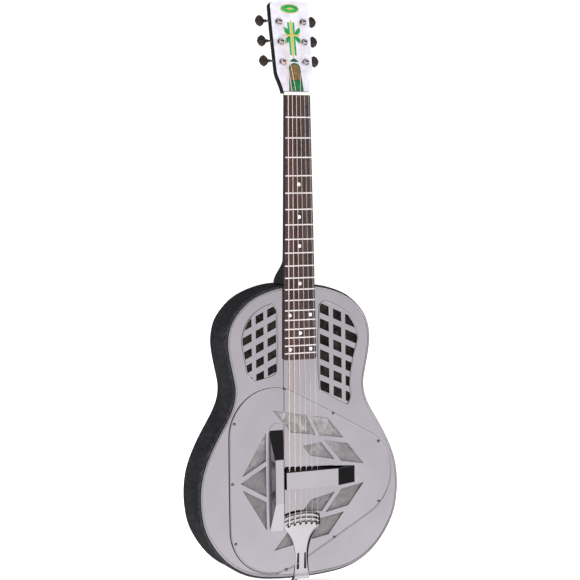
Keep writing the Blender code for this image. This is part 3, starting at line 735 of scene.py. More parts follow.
def carved(bm, other):
    """The shape less another, by an exact Boolean that uses both up."""
    objects = []
    for part in (bm, other):
        bmesh.ops.recalc_face_normals(part, faces=part.faces)
        objects.append(add_object("carved", mesh_of("carved", part)))
    modifier = objects[0].modifiers.new("carve", "BOOLEAN")
    modifier.operation = "DIFFERENCE"
    modifier.solver = "EXACT"
    modifier.object = objects[1]
    result = evaluated(objects[0])
    for obj in objects:
        bpy.data.meshes.remove(obj.data)
    return result


def piece(name, bm, look, body="root", replaces=(), sharp=35, flats=False):
    """Finished piece of the guitar, which rides on a CAD body and may stand for CAD nodes.

    With flats, its large faces are shaded flat and its rounded edges smooth.
    """
    bmesh.ops.recalc_face_normals(bm, faces=bm.faces)
    bmesh.ops.scale(bm, vec=(MM, MM, MM), verts=bm.verts)
    mesh = mesh_of(name, bm)
    material, slot = LOOKS[look]
    mesh.materials.append(material)
    mesh.shade_smooth()
    mesh.set_sharp_from_angle(angle=math.radians(sharp))
    obj = add_object(name, mesh)
    if flats:
        even = obj.modifiers.new("even_normals", "WEIGHTED_NORMAL")
        even.weight = 100
        even.keep_sharp = True
    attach(obj, body)
    if replaces:
        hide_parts(*replaces)


def keep_node(node, material, slot):
    """A CAD node that stays as it is, with a finished material."""
    obj = frame["nodes"][node]
    obj.data.materials.clear()
    obj.data.materials.append(material)


# Body

BEAD_INSET = 3.4
TOP_INSET = 6.75
TOP_SHIFT = Vector((2, 0, 0))
SCREEN_LAP = 6  # how far a CAD screen reaches beyond its window


def arc(centre, radius, start, end, steps):
    """Points (d, y) on an arc, with angles in degrees and 90 towards the front."""
    turns = [math.radians(start + (end - start) * i / steps) for i in range(steps + 1)]
    return [(centre[0] + radius * math.cos(a), centre[1] - radius * math.sin(a)) for a in turns]


def build_body():
    outline = refined(outline_loops("back_plate")[0], 5)
    back_low, back_high = box_mm("back_plate")
    seam = back_low.y - 0.3
    rim_profile = [
        (3.8, 0.1), *arc((3.2, 3.2), 3.2, 100, 180, 8),
        (0, 20), (0, 40), (0, seam - 1.2), (0.7, seam - 0.7), (0.7, seam),
        (1.5, seam), (1.5, 6), (5.4, 2.6), (7.2, 1.9), (7.2, 1), (3.8, 1),
    ]  # fmt: skip
    # The rim's near-black coat paints the dark reflection seen on the body's plated sides.
    piece("rim_band", swept(outline, rim_profile), "coat_and_dark_reflection", replaces=("side_rim",), sharp=50)
    bead_profile = [
        (BEAD_INSET, 1), *arc((BEAD_INSET + 0.8, 0.1), 0.8, 180, 10, 6),
        *arc((BEAD_INSET + 2.5, 0.1), 0.8, 170, 0, 6), (BEAD_INSET + 3.3, 1),
    ]  # fmt: skip
    bead = moved(swept(outline, bead_profile), Matrix.Translation(TOP_SHIFT))
    piece("edge_bead", bead, "bright", sharp=60)
    back = plate([inset(outline, -0.5)], back_low.y, back_high.y, edge=0.55, rounds=3)
    piece("back_sheet", back, "coat_and_dark_reflection", replaces=("back_plate",), sharp=45, flats=True)

    loops = outline_loops("top_plate")
    edge = [(x + TOP_SHIFT.x, z + TOP_SHIFT.z) for x, z in inset(outline, TOP_INSET)]
    sheet = plate([edge, *loops[1:]], 0, 1.2, edge=0.35)
    piece("top_sheet", sheet, "face", replaces=("top_plate",), sharp=45, flats=True)

    for side in SIDES.values():
        screen = outline_loops(f"{side}_screen")[0]
        window = refined(inset(screen, SCREEN_LAP), 2.5, corner=55)
        ridge = [(0.1, 0.5), (0.1, -0.35), *arc((-1, -0.3), 1.1, 20, 160, 6), (-2.2, 0.5)]
        piece(f"{side}_window_bead", swept(window, ridge), "bright", sharp=60)
        sheet = crumpled(screen, 2.1, 0.5, 0.02, 4)
        piece(f"{side}_gauze", sheet, "dark_gauze", replaces=(f"{side}_screen",), sharp=80)


def crumpled(outline, depth, height, fineness, cell):
    """Thin creased sheet that fills the outline, at about this depth."""
    xs = [x for x, _ in outline]
    zs = [z for _, z in outline]
    columns = math.ceil((max(xs) - min(xs)) / cell)
    rows = math.ceil((max(zs) - min(zs)) / cell)
    bm = bmesh.new()
    verts = {}

    def vert(i, j):
        if (i, j) not in verts:
            x = min(xs) + i * cell
            z = min(zs) + j * cell
            place = Vector((x, 7, z)) * fineness
            octaves = ((1, 1), (0.5, 2.3), (0.28, 4.9))
            fold = sum(share * noise.noise(place * finer) for share, finer in octaves)
            verts[i, j] = bm.verts.new((x, depth + height * fold, z))
        return verts[i, j]

    for i in range(columns):
        for j in range(rows):
            if inside(outline, min(xs) + (i + 0.5) * cell, min(zs) + (j + 0.5) * cell):
                bm.faces.new((vert(i, j), vert(i + 1, j), vert(i + 1, j + 1), vert(i, j + 1)))
    bmesh.ops.solidify(bm, geom=bm.faces[:], thickness=0.25)
    return bm


def build_cover():
    low, high = box_mm("cover_plate")
    loops = outline_loops("cover_plate")
    outer = refined(loops[0], 4)
    sheet = plate([inset(outer, 0.9), *loops[1:]], low.y, high.y, edge=0.5, rounds=3)
    piece("cover_sheet", sheet, "cover", replaces=("cover_plate",), sharp=45, flats=True)
    edge = [(0, 0), *arc((1.05, -1.15), 1.05, 170, 20, 8), (2, 0)]
    piece("cover_bead", swept(outer, edge), "bright", sharp=60)
    # Black ring under the cover's edge, shifted towards the bass side and the foot, so that it shows past
    # the left and lower edges as a painted shadow line.
    shadow_ring = swept(outer, [(-0.35, 0), (-0.35, -0.5), (1.6, -0.5), (1.6, 0)])
    piece("cover_shadow_line", moved(shadow_ring, translation(-0.5, 0, -0.9)), "painted_shade")
    screen = crumpled(outline_loops("cover_screen")[0], 1.2, 2.0, 0.045, 2.5)
    piece("cover_gauze", screen, "gauze", replaces=("cover_screen",), sharp=80)
    profile = [(0, 1.45), (1.2, 1.3), (2.1, 0.9), (2.6, 0.3), (2.7, -0.2), (1.2, -0.2), (1.2, -3), (0, -3)]
    for number in range(1, 10):
        node = f"cover_screw_{number}"
        screw_low, screw_high = box_mm(node)
        centre = (screw_low + screw_high) / 2
        centre.y = low.y - 0.3
        head = revolved(profile, 24)
        for turn in (20 + 37 * number, 110 + 37 * number):
            slot_cut = block((-1.9, -0.32, 0.75), (1.9, 0.32, 2))
            head = carved(head, moved(slot_cut, rotation(turn, "Z")))
        head = moved(head, Matrix.Translation(centre) @ rotation(90, "X"))
        piece(f"cross_screw_{number}", head, "screw", replaces=(node,))


# Handrest

BAR_SIDE = -30.5
BAR_HALF = 84
BAR_TOP = (-53.2, -37)
BAR_TOP_HALF = 37
BAR_WALL = 1.5
CROSS_HALF = 14.2
WALL_LEFT, WALL_RIGHT = -31, 64
WALL_LEAN_LEFT, WALL_LEAN_RIGHT = 6.3, 1.6


def sloped_block(base, base_y, top, top_y, edge):
    """Block whose base and top are rectangles (x0, x1, z0, z1) at two depths, with rounded edges."""
    bm = bmesh.new()
    bmesh.ops.create_cube(bm, size=2)
    for vert in bm.verts:
        x0, x1, z0, z1 = base if vert.co.y > 0 else top
        y = base_y if vert.co.y > 0 else top_y
        vert.co = (x1 if vert.co.x > 0 else x0, y, z1 if vert.co.z > 0 else z0)
    bmesh.ops.bevel(bm, geom=bm.edges[:], offset=edge, segments=3, profile=0.5, affect="EDGES")
    return bm


def bent_strip(path, half, thick):
    """Sheet bent along a path of (x, y) and drawn out this far across Z, on both sides of the bridge."""
    rings = []
    count = len(path)
    for i, (x, y) in enumerate(path):
        before = Vector(path[max(i - 1, 0)])
        after = Vector(path[min(i + 1, count - 1)])
        heading = (after - before).normalized()
        back_x = x - heading.y * thick
        back_y = y + heading.x * thick
        upper, lower = BRIDGE_Z + half, BRIDGE_Z - half
        rings.append([(x, y, upper), (x, y, lower), (back_x, back_y, lower), (back_x, back_y, upper)])
    return solid(rings)


def build_handrest():
    """T-shaped cover over the bridge: an upright bar with ramps at its ends, and a bar over the strings."""
    low, high = box_mm("handrest")
    foot = high.y - 0.2
    top = low.y

    def about_bridge(x0, x1, half):
        return x0, x1, BRIDGE_Z - half, BRIDGE_Z + half

    base = about_bridge(low.x, BAR_SIDE, BAR_HALF)
    bar = sloped_block(base, foot, about_bridge(*BAR_TOP, BAR_TOP_HALF), top, 1.7)
    base = about_bridge(low.x + 1.6, BAR_SIDE - BAR_WALL, BAR_HALF - 5)
    ceiling = about_bridge(BAR_TOP[0] + BAR_WALL, BAR_TOP[1] - BAR_WALL, BAR_TOP_HALF - 1)
    bar = carved(bar, sloped_block(base, foot + 2, ceiling, top + 1.4, 0.4))
    cross_top = top + 1.5
    path = [(-33.5, foot - 1), (-33.5, cross_top + 6), (-33, cross_top + 0.8), (-32.2, cross_top + 0.1)]
    path += [(-31, cross_top), (15, cross_top), (60.5, cross_top), (62, cross_top + 0.15)]
    path += [(63.3, cross_top + 0.7), (97, foot - 1.2), (98.5, foot - 0.5), (100, foot - 0.1), (106, foot)]
    piece("handrest_bar", bar, "rest", replaces=("handrest",), sharp=45, flats=True)
    piece("handrest_cross", bent_strip(path, CROSS_HALF, 1.2), "rest", sharp=30)
    build_string_wall(cross_top)
    x, radius = -43.7, 14
    outline = half_round(x, BRIDGE_Z + 76, radius, radius + 6, 0, 16)
    foot_plate("bar_foot", outline + half_round(x, BRIDGE_Z - 74, radius, radius + 6, math.pi, 16), foot)
    x, radius = 91, 14.8
    outline = [(x - 14, BRIDGE_Z - radius), *half_round(x, BRIDGE_Z, radius, radius, -math.pi / 2, 16)]
    foot_plate("cross_foot", [*outline, (x - 14, BRIDGE_Z + radius)], foot)


def foot_plate(name, outline, foot):
    sheet = plate([outline], foot - 0.1, foot + 0.5, edge=0.25)
    piece(name, sheet, "cover", sharp=45, flats=True)


def build_string_wall(cross_top):
    """Upper wall of the cross bar, which leans out towards its foot and is notched for the strings; its
    near-black plating is painted shade.
    """
    head = cross_top + 0.3
    foot = cross_top + 8
    notch_head = cross_top + 1.8
    notch_half = 1.7
    edge = [(WALL_LEFT, head), (WALL_LEFT, foot)]
    for number in range(6):
        x = string_x(number, STRING_SPAN_SADDLE)
        edge += [(x - notch_half, foot), (x - notch_half, notch_head)]
        edge += [(x + notch_half, notch_head), (x + notch_half, foot)]
    edge += [(WALL_RIGHT, foot), (WALL_RIGHT, head)]
    rings = []
    for sheet in (0, 1):
        ring = []
        for x, y in edge:
            share = (x - WALL_LEFT) / (WALL_RIGHT - WALL_LEFT)
            lean = WALL_LEAN_LEFT + (WALL_LEAN_RIGHT - WALL_LEAN_LEFT) * share
            ring.append((x, y, BRIDGE_Z + CROSS_HALF - sheet + lean * (y - head) / (foot - head)))
        rings.append(ring)
    piece("string_wall", solid(rings), "painted_shade_plating", sharp=30)


# Tailpiece

BALL_ROW_Z = -711.5
BALL_ROW_RISE = 6
BALL_ROW_HALF = 33
SLOT_HEAD_Z = -758.5
SLOT_FOOT_Z = -783


def build_tailpiece():
    """Fan-shaped string holder: two raised ridges and a notched row of ball ends over a narrow stem."""
    tail = box_mm("tailpiece")[0].z + 0.9
    path = [
        # along, y, z, half width, bulge, curl
        (0, -9.6, -693.5, 32, 6, 4.2), (14, -9.4, -707.5, 33, 6, 4), (21, -9.1, -714.5, 31.5, 6, 4.2),
        (27, -8.6, -721, 26, 4.8, 4.4), (38, -7.3, -732, 18.6, 2.4, 3.8), (52, -5.6, -746, 13.8, 0.6, 3),
        (66, -4.4, -760, 11.8, 0, 2.2), (84, -3.4, -778, 11.9, 0, 1.6), (98, -3, -792, 13.4, 0, 1.2),
        (104.5, -3.7, -798.5, 13.9, 0, 0.9), (108, -2.4, tail + 0.7, 13.6, 0, 0.3),
        (111, 0.2, tail, 13, 0, 0), (122, 11, tail, 12, 0, 0), (137, 26, tail, 11.5, 0, 0),
        (149, 38, tail, 11.5, 0, 0),
    ]  # fmt: skip

    def ridge(along):
        for start, width, lift in ((0.6, 6.2, 2.0), (8.2, 5.6, 1.8), (15.2, 5.4, 1.5)):
            share = (along - start) / width
            if 0 < share < 1:
                return lift * math.sin(math.pi * share) ** 0.6
        return 0.0

    along = 0.0
    end = path[-1][0]
    rings = []
    columns = 36
    while along < end + 0.01:
        y, z, half, bulge, curl = eased(path, min(along, end))
        row = []
        for k in range(columns + 1):
            s = 2 * k / columns - 1
            depth = y + curl * abs(s) ** 3.2 - ridge(along) * (1 - abs(s) ** 8)
            row.append((half * s, depth, z + bulge * (1 - s * s)))
        rings.append(row)
        along += 0.55 if along < 22 else 2.0
    fan = skin(rings, closed=False, around=False)
    bmesh.ops.recalc_face_normals(fan, faces=fan.faces)
    middle = min(fan.faces, key=lambda face: (face.calc_center_median() - Vector((0, -7, -740))).length)
    if middle.normal.y > 0:
        bmesh.ops.reverse_faces(fan, faces=fan.faces)
    bmesh.ops.solidify(fan, geom=fan.faces[:], thickness=1.3)
    cutters = []
    for side in SIDES:
        head = (side * 6.1 - 1, SLOT_HEAD_Z)
        foot = (side * 6.6 - 1, SLOT_FOOT_Z)
        cutters.append(stadium(head, foot, 1.5, 2.3, -20, 4))
    for number in range(6):
        x, z = ball_place(number)
        cutters.append(stadium((x, z + 0.6), (x, z - 1.4), 2.0, 2.3, -16, -2))
    for cutter in cutters:
        fan = carved(fan, cutter)
    fan = carved(fan, moved(rod(3.4, 8, 20), translation(0, 30, tail)))
    piece("string_fan", fan, "bright", replaces=("tailpiece",), sharp=40)
    # Black sheet behind the two slots of the stem: painted shade seen through them.
    head, foot = SLOT_HEAD_Z + 5.5, SLOT_FOOT_Z - 5
    section = [(-3.2, head), (-0.3, head), (-0.3, foot), (-1.4, foot)]
    painted_shade = solid([[(x, y, z) for y, z in section] for x in (-10.2, 9)])
    piece("tail_slot_shade", painted_shade, "painted_shade")
    # Ball ends in brass darkened far below its own tone, so that the notches read black: painted shade.
    for number in range(6):
        x, z = ball_place(number)
        barrel = [(0, 2), (1.5, 2), (1.9, 1.6), (1.5, 0.5), (1.5, -0.5), (1.9, -1.6), (1.5, -2), (0, -2)]
        ball = moved(revolved(barrel, 16), translation(x, -9.4, z) @ rotation(90, "Y"))
        piece(f"ball_end_{number + 1}", ball, "shade_darkened_brass")
    pin_low, pin_high = box_mm("end_pin")
    pin = [(0, 0), (5, 0.1), (6.4, 0.9), (7, 2.2), (6.9, 3.4), (5.6, 4.8), (4.1, 6.6), (3.5, 8.4)]
    pin += [(3.7, 10.2), (4.6, 11.8), (6.3, 12.7), (6.6, 13.4), (6.4, 13.9), (3, 14.1), (3, 18), (0, 18)]
    pin = moved(revolved(pin, 32), translation(0, (pin_low.y + pin_high.y) / 2, pin_low.z))
    piece("strap_pin", pin, "hardware", replaces=("end_pin",))


def ball_place(number):
    """(x, z) of a ball end, on the arc of the tailpiece's notched row."""
    x = string_x(number, STRING_SPAN_SADDLE)
    return x, BALL_ROW_Z + BALL_ROW_RISE * (1 - (x / BALL_ROW_HALF) ** 2)


def stadium(start, end, start_radius, end_radius, front, back):
    """Upright cutter along Y with a long rounded section."""
    heading = math.atan2(end[1] - start[1], end[0] - start[0])
    points = half_round(*end, end_radius, end_radius, heading - math.pi / 2, 8)
    points += half_round(*start, start_radius, start_radius, heading + math.pi / 2, 8)
    return solid([[(x, y, z) for x, z in points] for y in (front, back)])


# Neck and fretboard

HEEL_START = -268


def board_half(z):
    """Half of the fretboard's width at a height."""
    end_low, end_high = box_mm("fretboard")
    nut_half = box_mm("nut")[1].x - 0.05
    length = -end_low.z
    return nut_half + (end_high.x - nut_half) * -z / length


def fret_z(number):
    return -SCALE_LENGTH * (1 - 2 ** (-number / 12))


def build_neck():
    neck_low, neck_high = box_mm("neck")
    joint_z = neck_low.z
    heel_depth = neck_high.y
    rings = []
    stations = [7 - 6.5 * i for i in range(40)]
    stations += [HEEL_START + (joint_z - HEEL_START) * i / 22 for i in range(1, 23)]
    for z in stations:
        share = max(0.0, (z - HEEL_START) / (joint_z - HEEL_START))
        plain = 15.5 - 0.01 * z
        depth = plain + (heel_depth - plain) * math.sin(share * math.pi / 2) ** 1.6
        half = board_half(min(z, 0)) - 0.1 - 1.5 * share
        fullness = 2.3 + 3.2 * share
        ring = []
        for i in range(33):
            angle = math.pi * i / 32
            x = math.copysign(abs(math.cos(angle)) ** (2 / fullness), math.cos(angle))
            ring.append((half * x, depth * math.sin(angle) ** (2 / fullness), z))
        rings.append(ring)
    piece("neck_shaft", solid(rings), "lacquer", replaces=("neck",), sharp=40)

    loops = outline_loops("headstock_veneer", HEAD.inverted())
    face = refined(loops[0], 3, corner=30)
    holes = [circle(*centre_of(loop), 4.9) for loop in loops[1:]]
    core = plate([inset(face, -0.4), *holes], 1.6, 15, edge=1.0, rounds=3)
    piece("headstock_core", moved(core, HEAD), "lacquer")
    overlay = plate([face, *holes], -0.1, 1.6, edge=0.3)
    piece("pearl_overlay", moved(overlay, HEAD), "pearl", replaces=("headstock_veneer",))


def centre_of(loop):
    return (sum(x for x, _ in loop) / len(loop), sum(z for _, z in loop) / len(loop))


def build_fretboard():
    low, high = box_mm("fretboard")
    front = low.y + 1
    end = low.z
    half = board_half(end)
    outline = [(-board_half(0), 0), (board_half(0), 0), (half, end + 4)]
    outline += [(half - 4 + 4 * math.cos(a), end + 4 - 4 * math.sin(a)) for a in (0.4, 0.8, 1.2)]
    outline += [(half - 4, end), (4 - half, end)]
    outline += [(4 - half - 4 * math.cos(a), end + 4 - 4 * math.sin(a)) for a in (1.2, 0.8, 0.4)]
    outline += [(-half, end + 4)]
    board = plate([outline], front, high.y, edge=0.5)
    for number in range(1, FRET_COUNT + 1):
        z = fret_z(number)
        board = carved(board, block((-40, front - 1, z - 0.35), (40, front + 1.6, z + 0.35)))
    piece("rosewood_board", board, "rosewood", replaces=("fretboard",))
    crown = [(1.1, 0.0), (1.05, -0.35), (0.8, -0.75), (0.4, -0.98), (0, -1.05)]
    section = crown + [(-z, y) for z, y in reversed(crown[:-1])]
    section += [(-0.3, 0.02), (-0.3, 1.5), (0.3, 1.5), (0.3, 0.02)]
    for number in range(1, FRET_COUNT + 1):
        z = fret_z(number)
        reach = board_half(z) - 0.3
        rings = []
        for x, rise in ((-reach, 0.25), (-reach + 0.9, 1), (0, 1), (reach - 0.9, 1), (reach, 0.25)):
            rings.append([(x, front + (y * rise if y < 0 else y), z + dz) for dz, y in section])
        piece(f"fret_wire_{number}", solid(rings), "fret", sharp=50)
    for number, spread in ((5, 0), (7, 0), (9, 0), (12, 0), (15, 1), (17, 0), (19, 1)):
        z = (fret_z(number) + fret_z(number - 1)) / 2
        for side in SIDES if spread else (0,):
            dot = revolved([(0, 0.12), (2.4, 0.1), (3, 0), (3, -0.8), (0, -0.8)], 24)
            turn = translation(18.5 * side, front, z) @ rotation(90, "X")
            piece(f"dot_{number}_{side + 1}", moved(dot, turn), "dot")


def build_nut():
    low, high = box_mm("nut")
    section = [(low.z, high.y), (low.z, -6.6), (low.z + 0.5, -7.7), (low.z + 1.6, -8.3)]
    section += [(high.z - 1.8, -8.1), (high.z - 0.5, -7.2), (high.z, -6), (high.z, high.y)]
    rings = []
    for x, rise in ((low.x, 0.2), (low.x + 0.4, 0), (high.x - 0.4, 0), (high.x, 0.2)):
        rings.append([(x, min(y + rise, high.y), z) for z, y in section])
    nut = solid(rings)
    for number, radius in enumerate(STRING_RADII):
        x = string_x(number, STRING_SPAN_NUT)
        line = [(x, -7.6 - r, z) for z, r in ((low.z - 2, 0), (high.z + 2, 0))]
        nut = carved(nut, tube(line, radius + 0.12, 12))
    piece("bone_nut", nut, "bone", replaces=("nut",), sharp=40)


# Headstock ornament, in the headstock's own frame

BADGE_V = 139.8


def overlay_piece(name, loops, rise, look, edge=0.12):
    """Thin plate on the headstock's face, this far proud of it."""
    sheet = plate(loops, -0.1 - rise, 0.1, edge=edge)
    piece(name, moved(sheet, HEAD), look, sharp=40)


def leaf(side, root, tip, width, steps=10):
    """Pointed leaf from root to tip, wider on its outer side."""
    root = Vector((side * root[0], root[1]))
    tip = Vector((side * tip[0], tip[1]))
    axis = tip - root
    normal = Vector((axis.y, -axis.x)).normalized()
    shape = []
    for i in range(steps + 1):
        t = i / steps
        shape.append(tuple(root + axis * t + normal * width * math.sin(math.pi * t) ** 0.8))
    for i in range(1, steps):
        t = 1 - i / steps
        shape.append(tuple(root + axis * t - normal * 0.45 * width * math.sin(math.pi * t)))
    return shape


def build_ornament():
    """Plain oval badge, an upright of leaves and bars, and an arched panel at the foot."""
    overlay_piece("badge_rim", [ellipse(0, BADGE_V, 16.6, 7.8, 40)], 0.7, "gold", 0.25)
    overlay_piece("badge_field", [ellipse(0, BADGE_V, 15.2, 6.6, 40)], 0.9, "green", 0.2)
    lozenge = [(-8, BADGE_V), (0, BADGE_V + 2), (8, BADGE_V), (0, BADGE_V - 2)]
    overlay_piece("badge_lozenge", [lozenge], 1.1, "gold")
    spine = [(-1.5, 61), (0, 55), (1.5, 61), (2, 90), (1.7, 117), (0, 121.5), (-1.7, 117), (-2, 90)]
    overlay_piece("spine", [spine], 0.45, "gold")
    for side, name in SIDES.items():
        bar = [(side * x, v) for x, v in ((2.6, 61.5), (5.8, 61.5), (6.4, 117), (2.8, 117))]
        overlay_piece(f"{name}_bar", [bar], 0.3, "green")
        overlay_piece(f"{name}_upper_leaf", [leaf(side, (5.5, 95), (15, 109), 5)], 0.3, "green")
        overlay_piece(f"{name}_lower_leaf", [leaf(side, (6, 93.5), (13, 81.5), -5)], 0.3, "green")
    cross = [(-15, 94.4), (0, 93.4), (15, 94.4), (15, 96), (0, 97), (-15, 96)]
    overlay_piece("cross_bar", [cross], 0.55, "gold")

    def arch(half_foot, half_top, foot, spring):
        top = half_round(0, spring, half_top, half_top * 0.75, 0, 12)
        return [(-half_foot, foot), (half_foot, foot), *top]

    overlay_piece("panel_border", [arch(12.8, 10, 1.4, 41)], 0.5, "deep_green")
    overlay_piece("panel_field", [arch(9.6, 7.6, 20, 40.4)], 0.7, "brown")
    for side, name in SIDES.items():
        foot = [(side * x, v) for x, v in ((0.7, 3), (9.8, 3), (8.8, 18.8), (0.7, 18.8))]
        overlay_piece(f"{name}_foot_panel", [foot], 0.65, "leaf_green")
    crest = [(-8, 50.5), (8, 50.5), (4.5, 54.2), (0, 56.5), (-4.5, 54.2)]
    overlay_piece("panel_crest", [crest], 0.5, "deep_green")


# Tuners, in the headstock's own frame

COVER_HALF = 7.5
COVER_BELOW = 8
COVER_ABOVE = 11.5
COVER_FRONT = 15.2
COVER_BACK = 24
KEY_DEPTH = 19.4
KEY_RISE = 6.6
BUTTON_REACH = 25.3


def build_tuner(number):
    """Post, bushing, gear cover and key of one tuner."""
    seat = post_seat(number)
    u, v = seat.x, seat.z
    side = math.copysign(1, u)
    place = HEAD @ translation(u, 0, v) @ rotation(90, "X")

    profile = [
        (0, 9.2), (1.7, 9.2), (2.2, 9.5), (2.6, 9.4), (3, 8.9), (3, 7.6), (2.7, 7.1), (2.6, 5), (2.7, 3.6),
        (3, 3), (3, -17.5), (4.3, -17.5), (4.3, -21.3), (2, -21.3), (2, -22.8), (0, -22.8),
    ]  # fmt: skip
    post = revolved(profile, 28)
    post = carved(post, moved(rod(0.85, 5, 12), translation(0, 0, 6.2) @ rotation(90, "Y")))
    piece(
        f"string_post_{number}", moved(post, place), "hardware",
        body=f"post_{number}", replaces=(f"tuner_post_{number}",),
    )  # fmt: skip

    ring = [
        (3.3, 1.9), (4.3, 2.1), (5.1, 1.8), (5.8, 1.1), (6.1, 0.35),
        (4.7, 0.3), (4.7, -10.8), (3.3, -10.8), (3.3, 1.9),
    ]  # fmt: skip
    bushing = revolved(ring, 28)
    bmesh.ops.remove_doubles(bushing, verts=bushing.verts, dist=0.001)
    bushing = moved(bushing, place)
    piece(f"post_bushing_{number}", bushing, "hardware", replaces=(f"tuner_bushing_{number}",))

    low = (u - COVER_HALF, COVER_FRONT, v - COVER_BELOW)
    high = (u + COVER_HALF, COVER_BACK, v + COVER_ABOVE)
    dome = revolved([(5.4, -0.4), (5.4, 0.3), (5, 0.8), (3.4, 1), (3, 0.6), (0, 0.5)], 28)
    dome = moved(dome, translation(u, COVER_BACK, v) @ rotation(-90, "X"))
    key = translation(u, KEY_DEPTH, v + KEY_RISE) @ rotation(side * 90, "Y")
    sleeve = revolved([(2.2, 6.4), (3.2, 6.4), (3.2, 7.8), (2.9, 8.6), (2.2, 8.6)], 20)
    housing = joined(block(low, high, edge=2.2, segments=4), dome, moved(sleeve, key))
    piece(f"gear_cover_{number}", moved(housing, HEAD), "hardware", replaces=(f"tuner_housing_{number}",))

    shaft = [(0, 6), (1.9, 6), (1.9, 11), (1.55, 11.6), (1.5, 13.2), (2.4, 13.8), (2.7, 15.2), (2.7, 17.5)]
    shaft = revolved([*shaft, (0, 18.5)], 20)
    piece(f"key_shaft_{number}", moved(shaft, HEAD @ key), "hardware", body=f"key_{number}")
    button = moved(lobed_button(), HEAD @ key @ translation(0, 0, BUTTON_REACH))
    piece(
        f"key_button_{number}", button, "button",
        body=f"key_{number}", replaces=(f"tuning_key_{number}",), sharp=60,
    )  # fmt: skip


def lobed_button():
    """Pillow-shaped button with a rounded-diamond outline of eight soft lobes, about local Z."""
    rings = []
    levels = 14
    sides = 48
    for level in range(1, levels):
        lift = math.pi * level / levels - math.pi / 2
        shrink = math.cos(lift) ** 0.55
        y = 3.7 * math.copysign(abs(math.sin(lift)) ** 0.9, lift)
        ring = []
        for k in range(sides):
            a = math.tau * k / sides
            reach = 8.5 + 0.25 * math.cos(4 * a) + 0.22 * math.cos(8 * a)
            ring.append((1.07 * reach * shrink * math.cos(a), y, 0.9 * reach * shrink * math.sin(a)))
        rings.append(ring)
    return solid(rings)


# Strings


def string_path(number):
    """Path of a string: ball end, tailpiece ridges, saddle, nut and the turns about its post."""
    radius = STRING_RADII[number]
    side = -1 if number < 3 else 1
    seat = post_seat(number + 1 if number < 3 else 9 - number)
    x, ball_z = ball_place(number)
    nut_x = string_x(number, STRING_SPAN_NUT)
    points = [
        Vector((x, -10.2, ball_z + 1)),
        Vector((x, -11.4 - radius, ball_z + 6)),
        Vector((x, -11.7 - radius, ball_z + 12.5)),
        Vector((x, -12.6 - radius, BRIDGE_Z - 2)),
        Vector((nut_x, -7.7 - radius / 2, 1)),
        Vector((nut_x, -7.5 - radius / 2, 4)),
    ]
    coil = 2.9 + radius
    steps = 18
    turns = 2.2 if number < WOUND_STRINGS else 3.4
    start = math.pi if side > 0 else 0
    for step in range(int(steps * turns) + 1):
        angle = start - side * math.tau * step / steps
        height = 6.9 - (2 * radius + 0.12) * step / steps
        spot = (seat.x + coil * math.cos(angle), -height, seat.z + coil * math.sin(angle))
        points.append(HEAD @ Vector(spot))
    return points


def build_strings():
    for number, radius in enumerate(STRING_RADII):
        look = "wound" if number < WOUND_STRINGS else "plain"
        wire = tube(string_path(number), radius, 12)
        piece(f"wire_{number + 1}", wire, look, replaces=(f"string_{number + 1}",), sharp=60)
    for number, radius in enumerate(STRING_RADII):
        x, z = ball_place(number)
        twist = tube([(x, -10.2, z + 0.8), (x, -11.6, z + 6), (x, -12, z + 12)], 1.5 * radius, 12)
        piece(f"ball_twist_{number + 1}", twist, "plain")


# Inside


def build_inside():
    for number in (1, 2, 3):
        low, high = box_mm(f"cone_{number}")
        centre = (low + high) / 2 * MM
        keep_node(f"cone_{number}", spun_aluminium(f"spun_cone_{number}", centre), "spun_aluminium")
    keep_node("soundwell", *LOOKS["well"])
    keep_node("t_bridge", *LOOKS["well"])
    keep_node("saddle", *LOOKS["maple"])
    keep_node("neck_stick", *LOOKS["maple"])


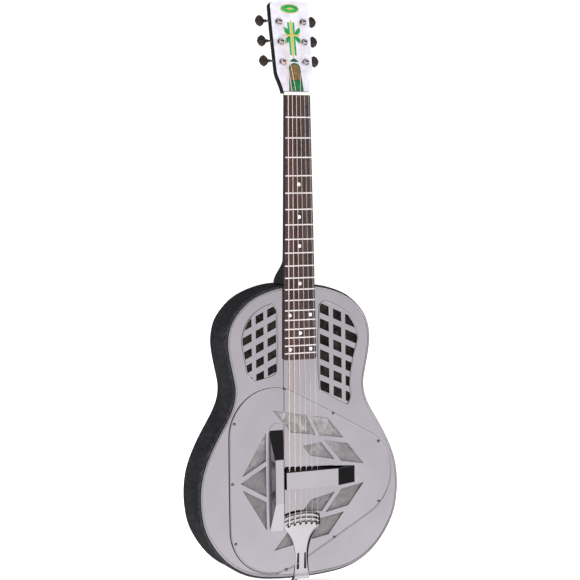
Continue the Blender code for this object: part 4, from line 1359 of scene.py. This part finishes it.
def make_looks():
    """Each look's material and the slot that it fills."""
    slots = {
        "polished_face": {
            "face": plated("polished_face", (0.64, 0.6, 0.655), 0.05, 0.11),
            "cover": plated("polished_cover", (0.65, 0.61, 0.665), 0.05, 0.11),
            # Lighter, almost unmetallic copy of the plating: painted highlight and reflection on the edge
            # beads, the window beads, the cover bead and the tailpiece.
            "bright": plated("highlight_plating", (0.76, 0.73, 0.77), 0.03, 0.08, 0.02),
            "rest": plated("handrest_plating", (0.69, 0.66, 0.7), 0.03, 0.08, 0.02),
            # Near-black copy of the plating: painted shade on the cross bar's upper wall.
            "painted_shade_plating": plated("shaded_plating", (0.05, 0.05, 0.055), 0.2, 0.35, 0.02),
        },
        "bright_hardware": {
            "hardware": plated("bright_hardware", (0.78, 0.77, 0.79), 0.06, 0.14, 0.02),
            "screw": plated("screw_steel", (0.36, 0.35, 0.37), 0.12, 0.25, 0.02),
        },
        "dark_coat": {"coat_and_dark_reflection": dark_coat()},
        "black_lacquer": {
            "lacquer": lacquer(),
            # Black for painted shade: the shadow line round the cover and the shade behind the tailpiece
            # slots.
            "painted_shade": enamel("black_painted_shade", grey(0.004), grey(0.01), 0.7),
        },
        "rosewood": {"rosewood": rosewood()},
        "maple": {"maple": maple()},
        "bone": {"bone": bone()},
        "pearloid": {
            "pearl": pearloid(),
            "dot": pearloid("pearl_dot", (0.95, 0.95, 0.96)),
            "gold": plated("gold_inlay", (0.75, 0.55, 0.13), 0.3, 0.45, 0.02, metallic=0.35),
            "green": enamel("green_enamel", (0.01, 0.2, 0.05), (0.03, 0.38, 0.09)),
            "leaf_green": enamel("leaf_green_enamel", (0.008, 0.1, 0.035), (0.015, 0.2, 0.06)),
            "deep_green": enamel("deep_green_enamel", (0.008, 0.07, 0.035), (0.015, 0.12, 0.06)),
            "brown": enamel("brown_enamel", (0.13, 0.075, 0.03), (0.24, 0.15, 0.07)),
        },
        "button_plastic": {"button": button_plastic()},
        "wound_string": {
            "wound": wound_wire("wound_wire", (0.92, 0.72, 0.64), (0.6, 0.45, 0.39), 330),
            # Brass darkened to paint the shade in the tailpiece's notches.
            "shade_darkened_brass": plated("shade_darkened_brass", (0.14, 0.11, 0.08), 0.2, 0.35, 0.02),
        },
        "plain_string": {
            "plain": plated("plain_wire", (0.74, 0.7, 0.7), 0.2, 0.3, 0.02, metallic=0.3),
            "fret": plated("fret_nickel", (0.88, 0.83, 0.85), 0.2, 0.3, 0.02, metallic=0.3),
        },
        "screen_wire": {
            "gauze": gauze("cover_gauze", (1.0, 0.98, 1.0), (0.42, 0.39, 0.4), (0.46, 0.44, 0.46)),
            "dark_gauze": gauze("window_gauze", (0.1, 0.078, 0.06), (0.006, 0.005, 0.005), grey(0.003)),
        },
        "spun_aluminium": {"well": spun_aluminium("soundwell_metal", (0, 0, BRIDGE_Z * MM))},
    }
    looks = {}
    for slot, materials in slots.items():
        for look, material in materials.items():
            looks[look] = (material, slot)
    return looks


make_camera()
make_world()
make_lights()
make_floor()
bpy.context.scene.view_settings.view_transform = "Standard"
LOOKS = make_looks()
build_body()
build_cover()
build_handrest()
build_tailpiece()
build_neck()
build_fretboard()
build_nut()
build_ornament()
for tuner in range(1, 7):
    build_tuner(tuner)
build_strings()
build_inside()
